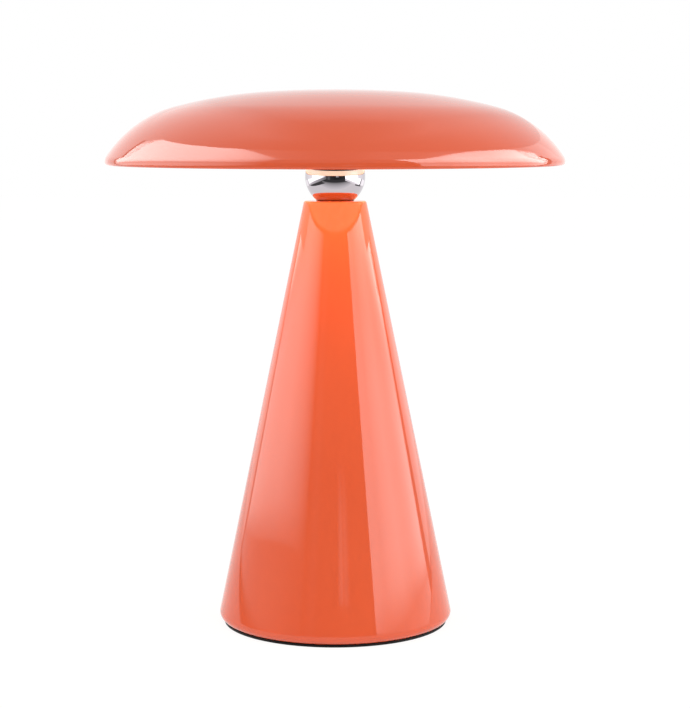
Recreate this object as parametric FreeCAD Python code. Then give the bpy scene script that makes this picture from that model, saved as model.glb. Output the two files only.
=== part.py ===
"""Cordless desk lamp: a glossy cone carries a chrome ball, and the ball carries a mushroom shade.

The lamp stands on the XY plane with its axis on +Z and its front towards -Y. The shade, the ball and
the stem are one head. The stem swings in a slotted seat, and the seat turns in the neck of the cone,
so the shade can lean in any direction. Every length is in millimetres and every angle in degrees.
"""

import FreeCAD, Part
import math
import os

# Driving dimensions of the foot and the cone
FOOT_THICKNESS = 1.2
FOOT_INSET = 3.2
FOOT_WIDTH = 7.8
BASE_DIAMETER = 119.3
CONE_HEIGHT = 211.8
CONE_WALL = 1.5
CONE_FOOT_ROUND = 2.5
CONE_NECK_ROUND = 1.4
HEM_REACH = 9.5

# Driving dimensions of the ball and its joint in the neck
BALL_DIAMETER = 30.0
BALL_SINK = 3.0
STEM_DIAMETER = 8.0
STEM_BORE = 5.0
SEAT_RIM_WALL = 0.85
SEAT_RIM_DROP = 0.3
SEAT_LEDGE = 2.05
SEAT_DEPTH = 7.0
THRUST_WASHER_THICKNESS = 0.45
STOP_LUG_REACH = 2.2
STOP_LUG_WIDTH = 2.4
STOP_LUG_HEIGHT = 2.4
STOP_STUD_DIAMETER = 2.0
STOP_STUD_LENGTH = 3.2
NECK_CLEARANCE = 0.2
TILT_STOP = 16.5
SADDLE_DIAMETER = 15.0
SADDLE_DEPTH = 2.5
DISC_SPRING_DIAMETER = 15.8
DISC_SPRING_THICKNESS = 0.6
DISC_SPRING_DISH = 0.3
DISC_SPRING_COUNT = 3
NUT_ACROSS_FLATS = 13.0
NUT_THICKNESS = 4.0
STEM_TAIL = 1.8

# Driving dimensions of the shade
SHADE_DIAMETER = 228.2
SHADE_CROWN_RADIUS = 525.0
SHADE_HAUNCH_RADIUS = 236.0
SHADE_HAUNCH_WIDTH = 45.0
SHADE_SHOULDER_WIDTH = 34.4
SHADE_RIM_SLOPE = 56.4
SHADE_TURN_RADIUS = 5.0
SHADE_BAND_HEIGHT = 0.4
SHADE_LIP_ROUND = 0.2
SHADE_WALL = 1.2
SHADE_HEM_WIDTH = 4.2
RIM_ABOVE_BALL = 5.8

# Driving dimensions of what the shade holds
DIFFUSER_RECESS = 4.0
DIFFUSER_THICKNESS = 2.0
DIFFUSER_EDGE_GAP = 0.5
HUB_BEYOND_BALL = 8.0
HUB_FLANGE_THICKNESS = 2.0
HUB_FLANGE_LAP = 4.0
HUB_FLOOR = 1.5
HUB_SKIRT = 2.2
HUB_BOSS_WALL = 1.0
HUB_CROWN = 4.5
HUB_PILLAR_DIAMETER = 6.4
LAMP_PLATE_DIAMETER = 140.0
LAMP_PLATE_THICKNESS = 1.5
TOP_WASHER_DIAMETER = 17.0
TOP_WASHER_THICKNESS = 1.6
STEM_HEAD = 1.4
SHADE_STUD_MARGIN = 3.7
SHADE_STUD_DIAMETER = 8.0
SHADE_STUD_COUNT = 3
HUB_SCREW_COUNT = 3
LED_CIRCLE = 111.0
LED_BOARD_WIDTH = 20.0
LED_BOARD_THICKNESS = 1.6
LED_COUNT = 24
LED_LENGTH = 3.5
LED_BREADTH = 2.8
LED_HEIGHT = 0.75

# Driving dimensions of what the cone holds
BASE_PLATE_THICKNESS = 2.5
BASE_PLATE_GAP = 0.3
BASE_BOSS_HEIGHT = 4.5
BASE_BOSS_DIAMETER = 10.0
BASE_SCREW_COUNT = 3
MOUNTING_RING_THICKNESS = 2.0
BALLAST_THICKNESS = 10.0
BALLAST_GAP = 0.5
BALLAST_EDGE = 1.0
CARRIER_FLOOR = 2.5
CARRIER_INSET = 1.5
CELL_DIAMETER = 18.4
CELL_LENGTH = 65.0
CELL_SPACING = 21.6
CELL_OFFSET = 4.0
CELL_SLEEVE_HEIGHT = 24.0
CELL_SLEEVE_WALL = 1.3
CELL_LINK_THICKNESS = 0.3
CELL_LINK_WIDTH = 7.0
CELL_LINK_ROOM = 1.0
BOARD_WIDTH = 28.0
BOARD_LENGTH = 24.0
BOARD_THICKNESS = 1.6
BOARD_SETBACK = 0.5
BOARD_POST_DIAMETER = 5.0
BOARD_POST_INSET = 3.2
PORT_HEIGHT = 24.0
PORT_RECESS = 0.4
BEZEL_WIDTH = 12.4
BEZEL_HEIGHT = 6.6
BEZEL_FLANGE = 1.1
BEZEL_FLANGE_THICKNESS = 0.6
BEZEL_DEPTH = 3.0
LEAD_DIAMETER = 2.4
SUPPLY_LEAD_BEND = 30.0
TOUCH_LEAD_DIAMETER = 1.2
TOUCH_LEAD_BEND = 3.0

# Standard sizes: a USB-C receptacle, M2, M3 and M4 pan-head screws (shank, head, head height)
USB_WIDTH = 8.94
USB_HEIGHT = 3.26
USB_DEPTH = 7.35
USB_SHELL = 0.3
USB_CAVITY_DEPTH = 6.2
USB_TONGUE_WIDTH = 6.69
USB_TONGUE_THICKNESS = 0.7
USB_TONGUE_LENGTH = 4.45
M2 = (2.0, 3.8, 1.4)
M3 = (3.0, 5.6, 1.8)
M4 = (4.0, 7.6, 2.2)

# Clearances
RUNNING_GAP = 0.05
SLOT_GAP = 0.15
SEATING_GAP = 0.1
SCREW_GAP = 0.1
LEAD_GAP = 0.3

AXIS = FreeCAD.Vector(0, 0, 1)
ORIGIN = FreeCAD.Vector(0, 0, 0)


# Helpers for outlines and round bodies


def point(r, z):
    """A point of an outline in the XZ plane, r from the lamp's axis and z above the table."""
    return FreeCAD.Vector(r, 0, z)


def line(a, b):
    return Part.LineSegment(a, b).toShape()


def arc(centre, radius, start, end):
    """An arc in the XZ plane. Angles are turned from +Z towards +X."""
    places = []
    for angle in (start, (start + end) / 2, end):
        turn = math.radians(angle)
        places.append(centre + point(radius * math.sin(turn), radius * math.cos(turn)))
    return Part.Arc(*places).toShape()


def rounded_outline(corners):
    """A closed outline in the XZ plane from (r, z, rounding) corners, each rounded by a tangent arc."""
    count = len(corners)
    places = [point(r, z) for r, z, _ in corners]
    edges = []
    ends = []
    for i, (_, _, rounding) in enumerate(corners):
        here, before, after = places[i], places[i - 1], places[(i + 1) % count]
        if rounding <= 0:
            ends.append((here, here, None))
            continue
        back = (before - here).normalize()
        ahead = (after - here).normalize()
        half = back.getAngle(ahead) / 2
        reach = rounding / math.tan(half)
        bisector = (back + ahead).normalize()
        middle = here + bisector * (rounding / math.sin(half) - rounding)
        ends.append((here + back * reach, here + ahead * reach, middle))
    for i, (first, last, middle) in enumerate(ends):
        if middle is not None:
            edges.append(Part.Arc(first, middle, last).toShape())
        following = ends[(i + 1) % count][0]
        if last.distanceToPoint(following) > 1e-6:
            edges.append(line(last, following))
    return edges


def turned(edges):
    """The solid that a closed outline in the XZ plane sweeps in a full turn about the lamp's axis."""
    return Part.Face(Part.Wire(edges)).revolve(ORIGIN, AXIS, 360)


def turned_polygon(*corners):
    return turned(rounded_outline([(*corner, 0) if len(corner) == 2 else corner for corner in corners]))


def cylinder(diameter, low, high, x=0.0, y=0.0):
    return Part.makeCylinder(diameter / 2, high - low, FreeCAD.Vector(x, y, low))


def tube(outer, inner, low, high, x=0.0, y=0.0):
    return cylinder(outer, low, high, x, y).cut(cylinder(inner, low, high, x, y))


def block(x_size, y_size, z_size, x, y, low):
    """A box centred on x and y that stands on low."""
    return Part.makeBox(x_size, y_size, z_size, FreeCAD.Vector(x - x_size / 2, y - y_size / 2, low))


def ball(diameter):
    """A sphere about the centre of the lamp's ball."""
    return Part.makeSphere(diameter / 2, FreeCAD.Vector(0, 0, ball_z))


def round_places(count, circle, first_angle):
    """The x and y of count places spread evenly on a circle about the lamp's axis."""
    for i in range(count):
        angle = math.radians(first_angle + 360 * i / count)
        yield circle / 2 * math.cos(angle), circle / 2 * math.sin(angle)


def pill(width, height, near, far, z):
    """A bar with rounded sides that runs along Y from near to far, centred on the height z."""
    half = (width - height) / 2
    left, right = FreeCAD.Vector(-half, near, z), FreeCAD.Vector(half, near, z)
    up = FreeCAD.Vector(0, 0, height / 2)
    out = FreeCAD.Vector(height / 2, 0, 0)
    edges = [
        line(left + up, right + up),
        Part.Arc(right + up, right + out, right - up).toShape(),
        line(right - up, left - up),
        Part.Arc(left - up, left - out, left + up).toShape(),
    ]
    return Part.Face(Part.Wire(edges)).extrude(FreeCAD.Vector(0, far - near, 0))


def pan_screw(size, x, y, seat, tip):
    """A pan-head screw on a vertical axis, its head on seat and its shank ending at tip."""
    shank, head, head_height = size
    way = 1 if tip > seat else -1
    shaft = cylinder(shank, min(seat, tip), max(seat, tip), x, y)
    crown = cylinder(head, min(seat, seat - way * head_height), max(seat, seat - way * head_height), x, y)
    rim = [edge for edge in crown.Edges if abs(edge.CenterOfMass.z - (seat - way * head_height)) < 1e-6]
    return crown.makeFillet(head_height / 2, rim).fuse(shaft).removeSplitter()


def hexagon_nut(low, thickness):
    corners = NUT_ACROSS_FLATS / math.cos(math.radians(30))
    ring = [FreeCAD.Vector(x, y, low) for x, y in round_places(6, corners, 0)]
    prism = Part.Face(Part.makePolygon([*ring, ring[0]])).extrude(FreeCAD.Vector(0, 0, thickness))
    chamfer = (corners - NUT_ACROSS_FLATS) / 2
    barrel = turned_polygon(
        (0, low),
        (NUT_ACROSS_FLATS / 2, low),
        (corners / 2, low + chamfer / 2),
        (corners / 2, low + thickness - chamfer / 2),
        (NUT_ACROSS_FLATS / 2, low + thickness),
        (0, low + thickness),
    )
    return prism.common(barrel).cut(cylinder(STEM_DIAMETER + 2 * RUNNING_GAP, low, low + thickness))


def lead(route, diameter, bend):
    """A round lead along straight runs, each corner turned on an arc of the given radius."""
    edges = []
    start = route[0]
    for here, after in zip(route[1:-1], route[2:]):
        back = (start - here).normalize()
        ahead = (after - here).normalize()
        half = back.getAngle(ahead) / 2
        reach = bend / math.tan(half)
        middle = here + (back + ahead).normalize() * (bend / math.sin(half) - bend)
        edges.append(line(start, here + back * reach))
        edges.append(Part.Arc(here + back * reach, middle, here + ahead * reach).toShape())
        start = here + ahead * reach
    edges.append(line(start, route[-1]))
    path = Part.Wire(edges)
    section = Part.Wire(Part.makeCircle(diameter / 2, route[0], route[1] - route[0]))
    return path.makePipeShell([section], True, False)


# Places that follow from the driving dimensions

ball_radius = BALL_DIAMETER / 2
stem_radius = STEM_DIAMETER / 2
cone_low = FOOT_THICKNESS
cone_top = cone_low + CONE_HEIGHT
ball_z = cone_top + ball_radius - BALL_SINK

# The seat's rim stands in the neck hole around the ball, and the stop lug and stop stud clear the cone.
seat_sphere = ball_radius + RUNNING_GAP
seat_rim_z = cone_top - SEAT_RIM_DROP
seat_rim_radius = math.sqrt(seat_sphere**2 - (ball_z - seat_rim_z) ** 2) + SEAT_RIM_WALL
neck_hole_radius = seat_rim_radius + RUNNING_GAP
seat_flange_radius = neck_hole_radius + SEAT_LEDGE
stop_lug_radius = seat_flange_radius + STOP_LUG_REACH
stop_circle = seat_flange_radius + stop_lug_radius
neck_radius = stop_lug_radius + NECK_CLEARANCE + CONE_WALL
neck_ceiling = cone_top - CONE_WALL
washer_top = neck_ceiling - RUNNING_GAP
seat_flange_z = washer_top - THRUST_WASHER_THICKNESS
saddle_sphere = ball_radius + SEAT_DEPTH

base_radius = BASE_DIAMETER / 2
cone_slope = (base_radius - neck_radius) / CONE_HEIGHT
wall_across = CONE_WALL * math.sqrt(1 + cone_slope**2)
opening_radius = base_radius - HEM_REACH

stem_low = ball_z - saddle_sphere - SADDLE_DEPTH - STEM_TAIL - NUT_THICKNESS
stem_low -= DISC_SPRING_COUNT * (DISC_SPRING_THICKNESS + DISC_SPRING_DISH)

rim_z = ball_z + RIM_ABOVE_BALL
diffuser_low = rim_z + DIFFUSER_RECESS
diffuser_top = diffuser_low + DIFFUSER_THICKNESS
hub_low = diffuser_low - HUB_FLANGE_THICKNESS
hub_top = ball_z + ball_radius + HUB_CROWN
hub_radius = ball_radius + HUB_BEYOND_BALL
hub_boss_radius = ball_radius + HUB_BOSS_WALL
hub_groove_low = diffuser_low + HUB_FLOOR
hub_screw_circle = hub_boss_radius + hub_radius - HUB_SKIRT
plate_top = hub_top + LAMP_PLATE_THICKNESS
washer_high = plate_top + TOP_WASHER_THICKNESS
stem_top = washer_high + NUT_THICKNESS + STEM_HEAD
led_board_low = hub_top - LED_BOARD_THICKNESS
shade_stud_circle = LED_CIRCLE - LED_BOARD_WIDTH - M4[1] - 2 * SHADE_STUD_MARGIN
lead_hole_x = hub_radius + LEAD_DIAMETER + LEAD_GAP

base_plate_top = cone_low + BASE_PLATE_THICKNESS
ring_low = base_plate_top + BASE_BOSS_HEIGHT
ring_top = ring_low + MOUNTING_RING_THICKNESS
base_plate_radius = opening_radius - BASE_PLATE_GAP
base_screw_circle = 2 * base_plate_radius - BASE_BOSS_DIAMETER - M4[1] / 5
ring_inner_radius = (base_screw_circle - BASE_BOSS_DIAMETER) / 2 - BALLAST_GAP
ballast_radius = ring_inner_radius - BALLAST_GAP
ballast_top = base_plate_top + BALLAST_THICKNESS
carrier_top = ballast_top + CARRIER_FLOOR
carrier_radius = ballast_radius - CARRIER_INSET
cell_low = carrier_top + CELL_LINK_THICKNESS
cell_top = cell_low + CELL_LENGTH


def cone_radius(z):
    """The cone's outside radius at a height, before its edges are rounded."""
    return base_radius - (z - cone_low) * cone_slope


def cone_inside(z):
    return cone_radius(z) - wall_across


# The port looks out of the back of the cone, along +Y.
usb_top = PORT_HEIGHT + USB_HEIGHT / 2
board_top = PORT_HEIGHT - USB_HEIGHT / 2
board_low = board_top - BOARD_THICKNESS
port_mouth = math.sqrt(cone_radius(usb_top) ** 2 - (USB_WIDTH / 2) ** 2) - PORT_RECESS
board_back = port_mouth - BEZEL_DEPTH - BOARD_SETBACK
board_y = board_back - BOARD_LENGTH / 2
board_holes = [
    (side * (BOARD_WIDTH / 2 - BOARD_POST_INSET), board_y - end * (BOARD_LENGTH / 2 - BOARD_POST_INSET))
    for side in (-1, 1)
    for end in (-1, 1)
]
carrier_screw_reach = (carrier_radius - M3[1]) * math.sqrt(0.5)
carrier_screws_at = [
    (-carrier_screw_reach, -carrier_screw_reach),
    (carrier_screw_reach, -carrier_screw_reach),
    (0, (board_y - BOARD_LENGTH / 2 - CELL_OFFSET + CELL_DIAMETER / 2) / 2),
]
cells_at = [(side * CELL_SPACING / 2, -CELL_OFFSET) for side in (-1, 1)]


# The cone and the foot


def cone_outside(grown=0.0):
    """The cone as a full solid, its skin moved out by grown."""
    across = grown * math.sqrt(1 + cone_slope**2)
    outer_round = CONE_FOOT_ROUND + CONE_WALL
    return turned_polygon(
        (0, cone_low),
        (base_radius + across, cone_low, outer_round),
        (neck_radius + across, cone_top, CONE_NECK_ROUND),
        (0, cone_top),
    )


def cone_body():
    floor = cone_low + CONE_WALL
    hollow = turned_polygon(
        (0, floor),
        (cone_inside(floor), floor, CONE_FOOT_ROUND),
        (cone_inside(neck_ceiling), neck_ceiling),
        (0, neck_ceiling),
    )
    port = pill(
        BEZEL_WIDTH + 2 * SEATING_GAP,
        BEZEL_HEIGHT + 2 * SEATING_GAP,
        port_mouth - BEZEL_DEPTH - CONE_WALL,
        base_radius,
        PORT_HEIGHT,
    )
    shell = cone_outside().cut(hollow)
    shell = shell.cut(cylinder(2 * opening_radius, cone_low, floor))
    shell = shell.cut(cylinder(2 * neck_hole_radius, neck_ceiling, cone_top))
    return shell.cut(port)


def foot_ring():
    outer = base_radius - FOOT_INSET
    edge = FOOT_THICKNESS / 4
    inner = outer - FOOT_WIDTH
    return turned_polygon(
        (inner, 0, edge), (outer, 0, edge), (outer, FOOT_THICKNESS, edge), (inner, FOOT_THICKNESS)
    )


def base_screw_places():
    return round_places(BASE_SCREW_COUNT, base_screw_circle, 90)


def base_plate():
    plate = cylinder(2 * base_plate_radius, cone_low, base_plate_top)
    for x, y in base_screw_places():
        plate = plate.fuse(cylinder(BASE_BOSS_DIAMETER, base_plate_top, ring_low, x, y))
    for x, y in base_screw_places():
        plate = plate.cut(cylinder(M4[0] + 2 * SCREW_GAP, cone_low, ring_low, x, y))
        plate = plate.cut(cylinder(M4[1] + 2 * SCREW_GAP, cone_low, cone_low + M4[2] + SCREW_GAP, x, y))
    return plate


def base_screws():
    seat = cone_low + M4[2] + SCREW_GAP
    return Part.makeCompound(
        [pan_screw(M4, x, y, seat, ring_top + M4[0] / 2) for x, y in base_screw_places()]
    )


def mounting_ring():
    """The ring inside the foot of the cone that the base plate is screwed up against."""
    ring = turned_polygon(
        (ring_inner_radius, ring_low),
        (cone_inside(ring_low) - SEATING_GAP, ring_low),
        (cone_inside(ring_top) - SEATING_GAP, ring_top),
        (ring_inner_radius, ring_top),
    )
    for x, y in base_screw_places():
        ring = ring.cut(cylinder(M4[0] + SCREW_GAP, ring_low, ring_top, x, y))
    return ring


def stop_stud():
    """A stud under the top of the cone, at the back, that ends the turn of the seat."""
    return cylinder(
        STOP_STUD_DIAMETER, neck_ceiling - STOP_STUD_LENGTH, neck_ceiling, 0, stop_circle / 2
    )


# What the cone holds


def ballast_weight():
    disc = turned_polygon(
        (0, base_plate_top),
        (ballast_radius, base_plate_top, BALLAST_EDGE),
        (ballast_radius, ballast_top, BALLAST_EDGE),
        (0, ballast_top),
    )
    for x, y in carrier_screws_at:
        disc = disc.cut(cylinder(M3[0] + SCREW_GAP, base_plate_top + M3[0], ballast_top, x, y))
    return disc


def battery_carrier():
    tongue_front = carrier_screws_at[2][1]
    tongue_length = board_back - tongue_front
    tray = cylinder(2 * carrier_radius, ballast_top, carrier_top)
    tray = tray.fuse(
        block(BOARD_WIDTH, tongue_length, CARRIER_FLOOR, 0, tongue_front + tongue_length / 2, ballast_top)
    )
    bore = CELL_DIAMETER + 4 * SEATING_GAP
    sleeve_top = carrier_top + CELL_SLEEVE_HEIGHT
    for x, y in cells_at:
        tray = tray.fuse(cylinder(bore + 2 * CELL_SLEEVE_WALL, carrier_top, sleeve_top, x, y))
    for x, y in board_holes:
        tray = tray.fuse(cylinder(BOARD_POST_DIAMETER, ballast_top, board_low, x, y))
    for x, y in cells_at:
        tray = tray.cut(cylinder(bore, carrier_top, sleeve_top, x, y))
    link_slot = CELL_LINK_WIDTH + CELL_LINK_ROOM
    tray = tray.cut(
        block(CELL_SPACING, link_slot, CELL_SLEEVE_HEIGHT, 0, -CELL_OFFSET, carrier_top)
    )
    for x, y in board_holes:
        tray = tray.cut(cylinder(M2[0] + SCREW_GAP, board_low - 3 * M2[0] / 2, board_low, x, y))
    for x, y in carrier_screws_at:
        tray = tray.cut(cylinder(M3[0] + 2 * SCREW_GAP, ballast_top, carrier_top, x, y))
    return tray


def carrier_screws():
    tip = ballast_top - 2 * M3[0]
    return Part.makeCompound([pan_screw(M3, x, y, carrier_top, tip) for x, y in carrier_screws_at])


def battery_cells():
    edge = 0.8
    terminal = 3.0
    cells = []
    for x, y in cells_at:
        can = cylinder(CELL_DIAMETER, cell_low, cell_top - edge, x, y)
        rims = [rim for rim in can.Edges if rim.Closed and len(rim.Vertexes) == 1]
        cells.append(can.makeFillet(edge, rims).fuse(cylinder(2 * terminal, cell_low + edge, cell_top, x, y)))
    return Part.makeCompound(cells)


def cell_links():
    """The nickel strips that join the cells below and above."""
    length = CELL_SPACING + CELL_LINK_WIDTH
    return Part.makeCompound(
        [
            block(length, CELL_LINK_WIDTH, CELL_LINK_THICKNESS, 0, -CELL_OFFSET, low)
            for low in (carrier_top, cell_top)
        ]
    )


def control_board():
    board = block(BOARD_WIDTH, BOARD_LENGTH, BOARD_THICKNESS, 0, board_y, board_low)
    for x, y in board_holes:
        board = board.cut(cylinder(M2[0] + 2 * SCREW_GAP, board_low, board_top, x, y))
    return board


def board_screws():
    return Part.makeCompound(
        [pan_screw(M2, x, y, board_top, board_low - M2[0]) for x, y in board_holes]
    )


lead_socket_size = (5.0, 6.0, 5.5)
lead_socket_at = (-5.0, board_y - BOARD_LENGTH / 2 + 4.0)
touch_chip_size = (5.0, 4.0, 1.6)
touch_chip_at = (6.0, board_y - BOARD_LENGTH / 2 + 4.0)


def board_components():
    """The lead socket, the touch chip, the charging chip, the coil and a capacitor, all on the board."""
    coil_diameter, coil_height = 6.0, 3.5
    can_diameter, can_height = 5.0, 7.0
    charger = 4.0
    row = board_y + 1.0
    return Part.makeCompound(
        [
            block(*lead_socket_size, *lead_socket_at, board_top),
            block(*touch_chip_size, *touch_chip_at, board_top),
            block(charger, charger, 1.0, 0, row, board_top),
            cylinder(coil_diameter, board_top, board_top + coil_height, 8.0, row),
            cylinder(can_diameter, board_top, board_top + can_height, -8.0, row),
        ]
    )


def usb_socket():
    """The receptacle: an open steel shell with the contact tongue inside."""
    inner_end = port_mouth - USB_DEPTH
    cavity_end = port_mouth - USB_CAVITY_DEPTH
    shell = pill(USB_WIDTH, USB_HEIGHT, inner_end, port_mouth, PORT_HEIGHT)
    cavity = pill(
        USB_WIDTH - 2 * USB_SHELL, USB_HEIGHT - 2 * USB_SHELL, cavity_end, port_mouth, PORT_HEIGHT
    )
    tongue = block(
        USB_TONGUE_WIDTH,
        USB_TONGUE_LENGTH,
        USB_TONGUE_THICKNESS,
        0,
        cavity_end + USB_TONGUE_LENGTH / 2,
        PORT_HEIGHT - USB_TONGUE_THICKNESS / 2,
    )
    return shell.cut(cavity).fuse(tongue).removeSplitter()


def usb_bezel():
    """The moulded insert round the port, with a thin flange that hugs the cone."""
    far = base_radius
    inner_end = port_mouth - BEZEL_DEPTH
    flange = pill(
        BEZEL_WIDTH + 2 * BEZEL_FLANGE, BEZEL_HEIGHT + 2 * BEZEL_FLANGE, inner_end, far, PORT_HEIGHT
    ).cut(cone_outside(RUNNING_GAP))
    plug = pill(BEZEL_WIDTH, BEZEL_HEIGHT, inner_end, far, PORT_HEIGHT)
    slot = pill(
        USB_WIDTH + 2 * SEATING_GAP, USB_HEIGHT + 2 * SEATING_GAP, inner_end, far, PORT_HEIGHT
    )
    return flange.fuse(plug).common(cone_outside(BEZEL_FLANGE_THICKNESS)).cut(slot)


def supply_lead():
    """The lead from the board up to the stem, slack enough for the head to lean and turn."""
    x, y = lead_socket_at
    low = board_top + lead_socket_size[2]
    high = stem_low - LEAD_GAP
    rise = high - low
    route = [
        FreeCAD.Vector(x, y, low),
        FreeCAD.Vector(x, y, low + rise * 0.2),
        FreeCAD.Vector(0, y / 3, low + rise * 0.6),
        FreeCAD.Vector(0, 0, low + rise * 0.8),
        FreeCAD.Vector(0, 0, high),
    ]
    return lead(route, LEAD_DIAMETER, SUPPLY_LEAD_BEND)


def touch_lead():
    """The lead that ties the touch chip to the metal body, soldered to the mounting ring."""
    x, y = touch_chip_at
    rise = board_top + touch_chip_size[2]
    high = rise + 2 * TOUCH_LEAD_BEND
    ring_middle = (ring_inner_radius + cone_inside(ring_top)) / 2
    side = math.sqrt(ring_middle**2 - y**2)
    route = [
        FreeCAD.Vector(x, y, rise),
        FreeCAD.Vector(x, y, high),
        FreeCAD.Vector(side, y, high),
        FreeCAD.Vector(side, y, ring_top),
    ]
    return lead(route, TOUCH_LEAD_DIAMETER, TOUCH_LEAD_BEND)


# The seat that turns in the neck


def stop_lug():
    reach = stop_lug_radius - ball_radius / 3
    low = seat_flange_z - STOP_LUG_HEIGHT
    lug = block(STOP_LUG_WIDTH, reach, STOP_LUG_HEIGHT, 0, -ball_radius / 3 - reach / 2, low)
    return lug.common(cylinder(2 * stop_lug_radius, low, seat_flange_z))


def swivel_seat():
    """The slotted seat: a dish for the ball above, a round saddle below and a flared slot for the stem."""
    body = cylinder(2 * seat_flange_radius, ball_z - saddle_sphere, seat_flange_z)
    body = body.common(ball(2 * saddle_sphere))
    body = body.fuse(cylinder(2 * seat_rim_radius, seat_flange_z, seat_rim_z))
    body = body.fuse(stop_lug()).cut(ball(2 * seat_sphere))
    flare = math.tan(math.radians(TILT_STOP))
    half_stem = stem_radius / math.cos(math.radians(TILT_STOP))
    ends = [half_stem + depth * flare for depth in (0, saddle_sphere)]
    corners = [
        FreeCAD.Vector(0, -ends[0], ball_z),
        FreeCAD.Vector(0, ends[0], ball_z),
        FreeCAD.Vector(0, ends[1], ball_z - saddle_sphere),
        FreeCAD.Vector(0, -ends[1], ball_z - saddle_sphere),
    ]
    width = STEM_DIAMETER + 2 * SLOT_GAP
    slot = Part.Face(Part.makePolygon([*corners, corners[0]])).extrude(FreeCAD.Vector(width, 0, 0))
    slot.translate(FreeCAD.Vector(-width / 2, 0, 0))
    return body.cut(slot).removeSplitter()


def thrust_washer():
    return tube(
        2 * seat_flange_radius,
        2 * (seat_rim_radius + RUNNING_GAP),
        seat_flange_z,
        washer_top,
    )


# The head: the ball, its stem and what draws them into the seat


def chrome_ball():
    low, high = ball_z - ball_radius, ball_z + ball_radius
    return ball(BALL_DIAMETER).cut(cylinder(STEM_DIAMETER + 2 * RUNNING_GAP, low, high))


def stem_tube():
    return tube(STEM_DIAMETER, STEM_BORE, stem_low, stem_top)


stem_hole = STEM_DIAMETER + 2 * RUNNING_GAP
saddle_low = ball_z - saddle_sphere - SADDLE_DEPTH
spring_low = saddle_low - DISC_SPRING_COUNT * (DISC_SPRING_THICKNESS + DISC_SPRING_DISH)
nut_low = spring_low - NUT_THICKNESS


def pressure_saddle():
    """The cup under the seat. Its hollow top slides on the seat as the stem swings."""
    puck = tube(SADDLE_DIAMETER, stem_hole, saddle_low, ball_z - saddle_sphere / 2)
    return puck.cut(ball(2 * (saddle_sphere + RUNNING_GAP)))


def disc_springs():
    """Conical spring washers, stacked face to face and back to back."""
    inner, outer = stem_hole / 2, DISC_SPRING_DIAMETER / 2
    springs = []
    for i in range(DISC_SPRING_COUNT):
        top = saddle_low - i * (DISC_SPRING_THICKNESS + DISC_SPRING_DISH)
        high, low = (inner, outer) if i % 2 == 0 else (outer, inner)
        springs.append(
            turned_polygon(
                (high, top),
                (high, top - DISC_SPRING_THICKNESS),
                (low, top - DISC_SPRING_DISH - DISC_SPRING_THICKNESS),
                (low, top - DISC_SPRING_DISH),
            )
        )
    return Part.makeCompound(springs)


def stem_nut():
    return hexagon_nut(nut_low, NUT_THICKNESS)


# The head: the shade and what it holds


def shade_arcs(inset):
    """The crown, haunch, shoulder, turn and lip as (centre, radius, start, end) arcs, moved in by inset."""
    shade_radius = SHADE_DIAMETER / 2
    lip_radius = SHADE_LIP_ROUND + SHADE_WALL
    crown_reach = shade_radius - SHADE_SHOULDER_WIDTH - SHADE_HAUNCH_WIDTH
    crown_lean = crown_reach / SHADE_CROWN_RADIUS
    haunch_lean = crown_lean + SHADE_HAUNCH_WIDTH / SHADE_HAUNCH_RADIUS
    rim_lean = math.sin(math.radians(SHADE_RIM_SLOPE))
    shoulder_run = SHADE_SHOULDER_WIDTH - SHADE_TURN_RADIUS * (1 - rim_lean)
    shoulder_radius = shoulder_run / (rim_lean - haunch_lean)
    radii = [SHADE_CROWN_RADIUS, SHADE_HAUNCH_RADIUS, shoulder_radius, SHADE_TURN_RADIUS, lip_radius]
    ends = [math.degrees(math.asin(lean)) for lean in (crown_lean, haunch_lean, rim_lean)]
    ends += [90, 180]
    centres = [point(shade_radius - SHADE_TURN_RADIUS, rim_z + lip_radius + SHADE_BAND_HEIGHT)]
    for i in (2, 1, 0):
        turn = math.radians(ends[i])
        gap = radii[i] - radii[i + 1]
        centres.insert(0, centres[0] - point(gap * math.sin(turn), gap * math.cos(turn)))
    centres.append(point(shade_radius - lip_radius, rim_z + lip_radius))
    starts = [0, *ends[:-1]]
    return [(centres[i], radii[i] - inset, starts[i], ends[i]) for i in range(5)]


def shade_side(arcs):
    """The arcs as edges, with a short upright band between the turn and the lip."""
    *upper, lip = arcs
    centre, radius, _, _ = lip
    band_r = centre.x + radius
    band = line(point(band_r, upper[-1][0].z), point(band_r, centre.z))
    return [arc(*each) for each in upper] + [band, arc(*lip)]


shade_hem_radius = SHADE_DIAMETER / 2 - SHADE_LIP_ROUND - SHADE_WALL - SHADE_HEM_WIDTH


def shade_shell():
    """The dome, one thin wall from its crown down to the folded lip and the flat hem under it."""
    outer, inner = shade_arcs(0), shade_arcs(SHADE_WALL)
    hem = [point(shade_hem_radius, rim_z), point(shade_hem_radius, rim_z + SHADE_WALL)]
    lip_r = outer[-1][0].x
    edges = shade_side(outer)
    edges.append(line(point(lip_r, rim_z), hem[0]))
    edges.append(line(*hem))
    edges.append(line(hem[1], point(lip_r, rim_z + SHADE_WALL)))
    edges += reversed(shade_side(inner))
    crown_centre, crown_radius, _, _ = inner[0]
    edges.append(
        line(
            point(0, crown_centre.z + crown_radius),
            point(0, crown_centre.z + crown_radius + SHADE_WALL),
        )
    )
    return turned(edges)


def shade_stud_places():
    return round_places(SHADE_STUD_COUNT, shade_stud_circle, 90)


def shade_inside():
    """The space inside the dome as a full solid."""
    arcs = shade_arcs(SHADE_WALL)
    crown_top = arcs[0][0].z + arcs[0][1]
    lip_low = point(arcs[-1][0].x, rim_z + SHADE_WALL)
    edges = shade_side(arcs)
    edges.append(line(lip_low, point(0, lip_low.z)))
    edges.append(line(point(0, lip_low.z), point(0, crown_top)))
    return turned(edges)


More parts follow.
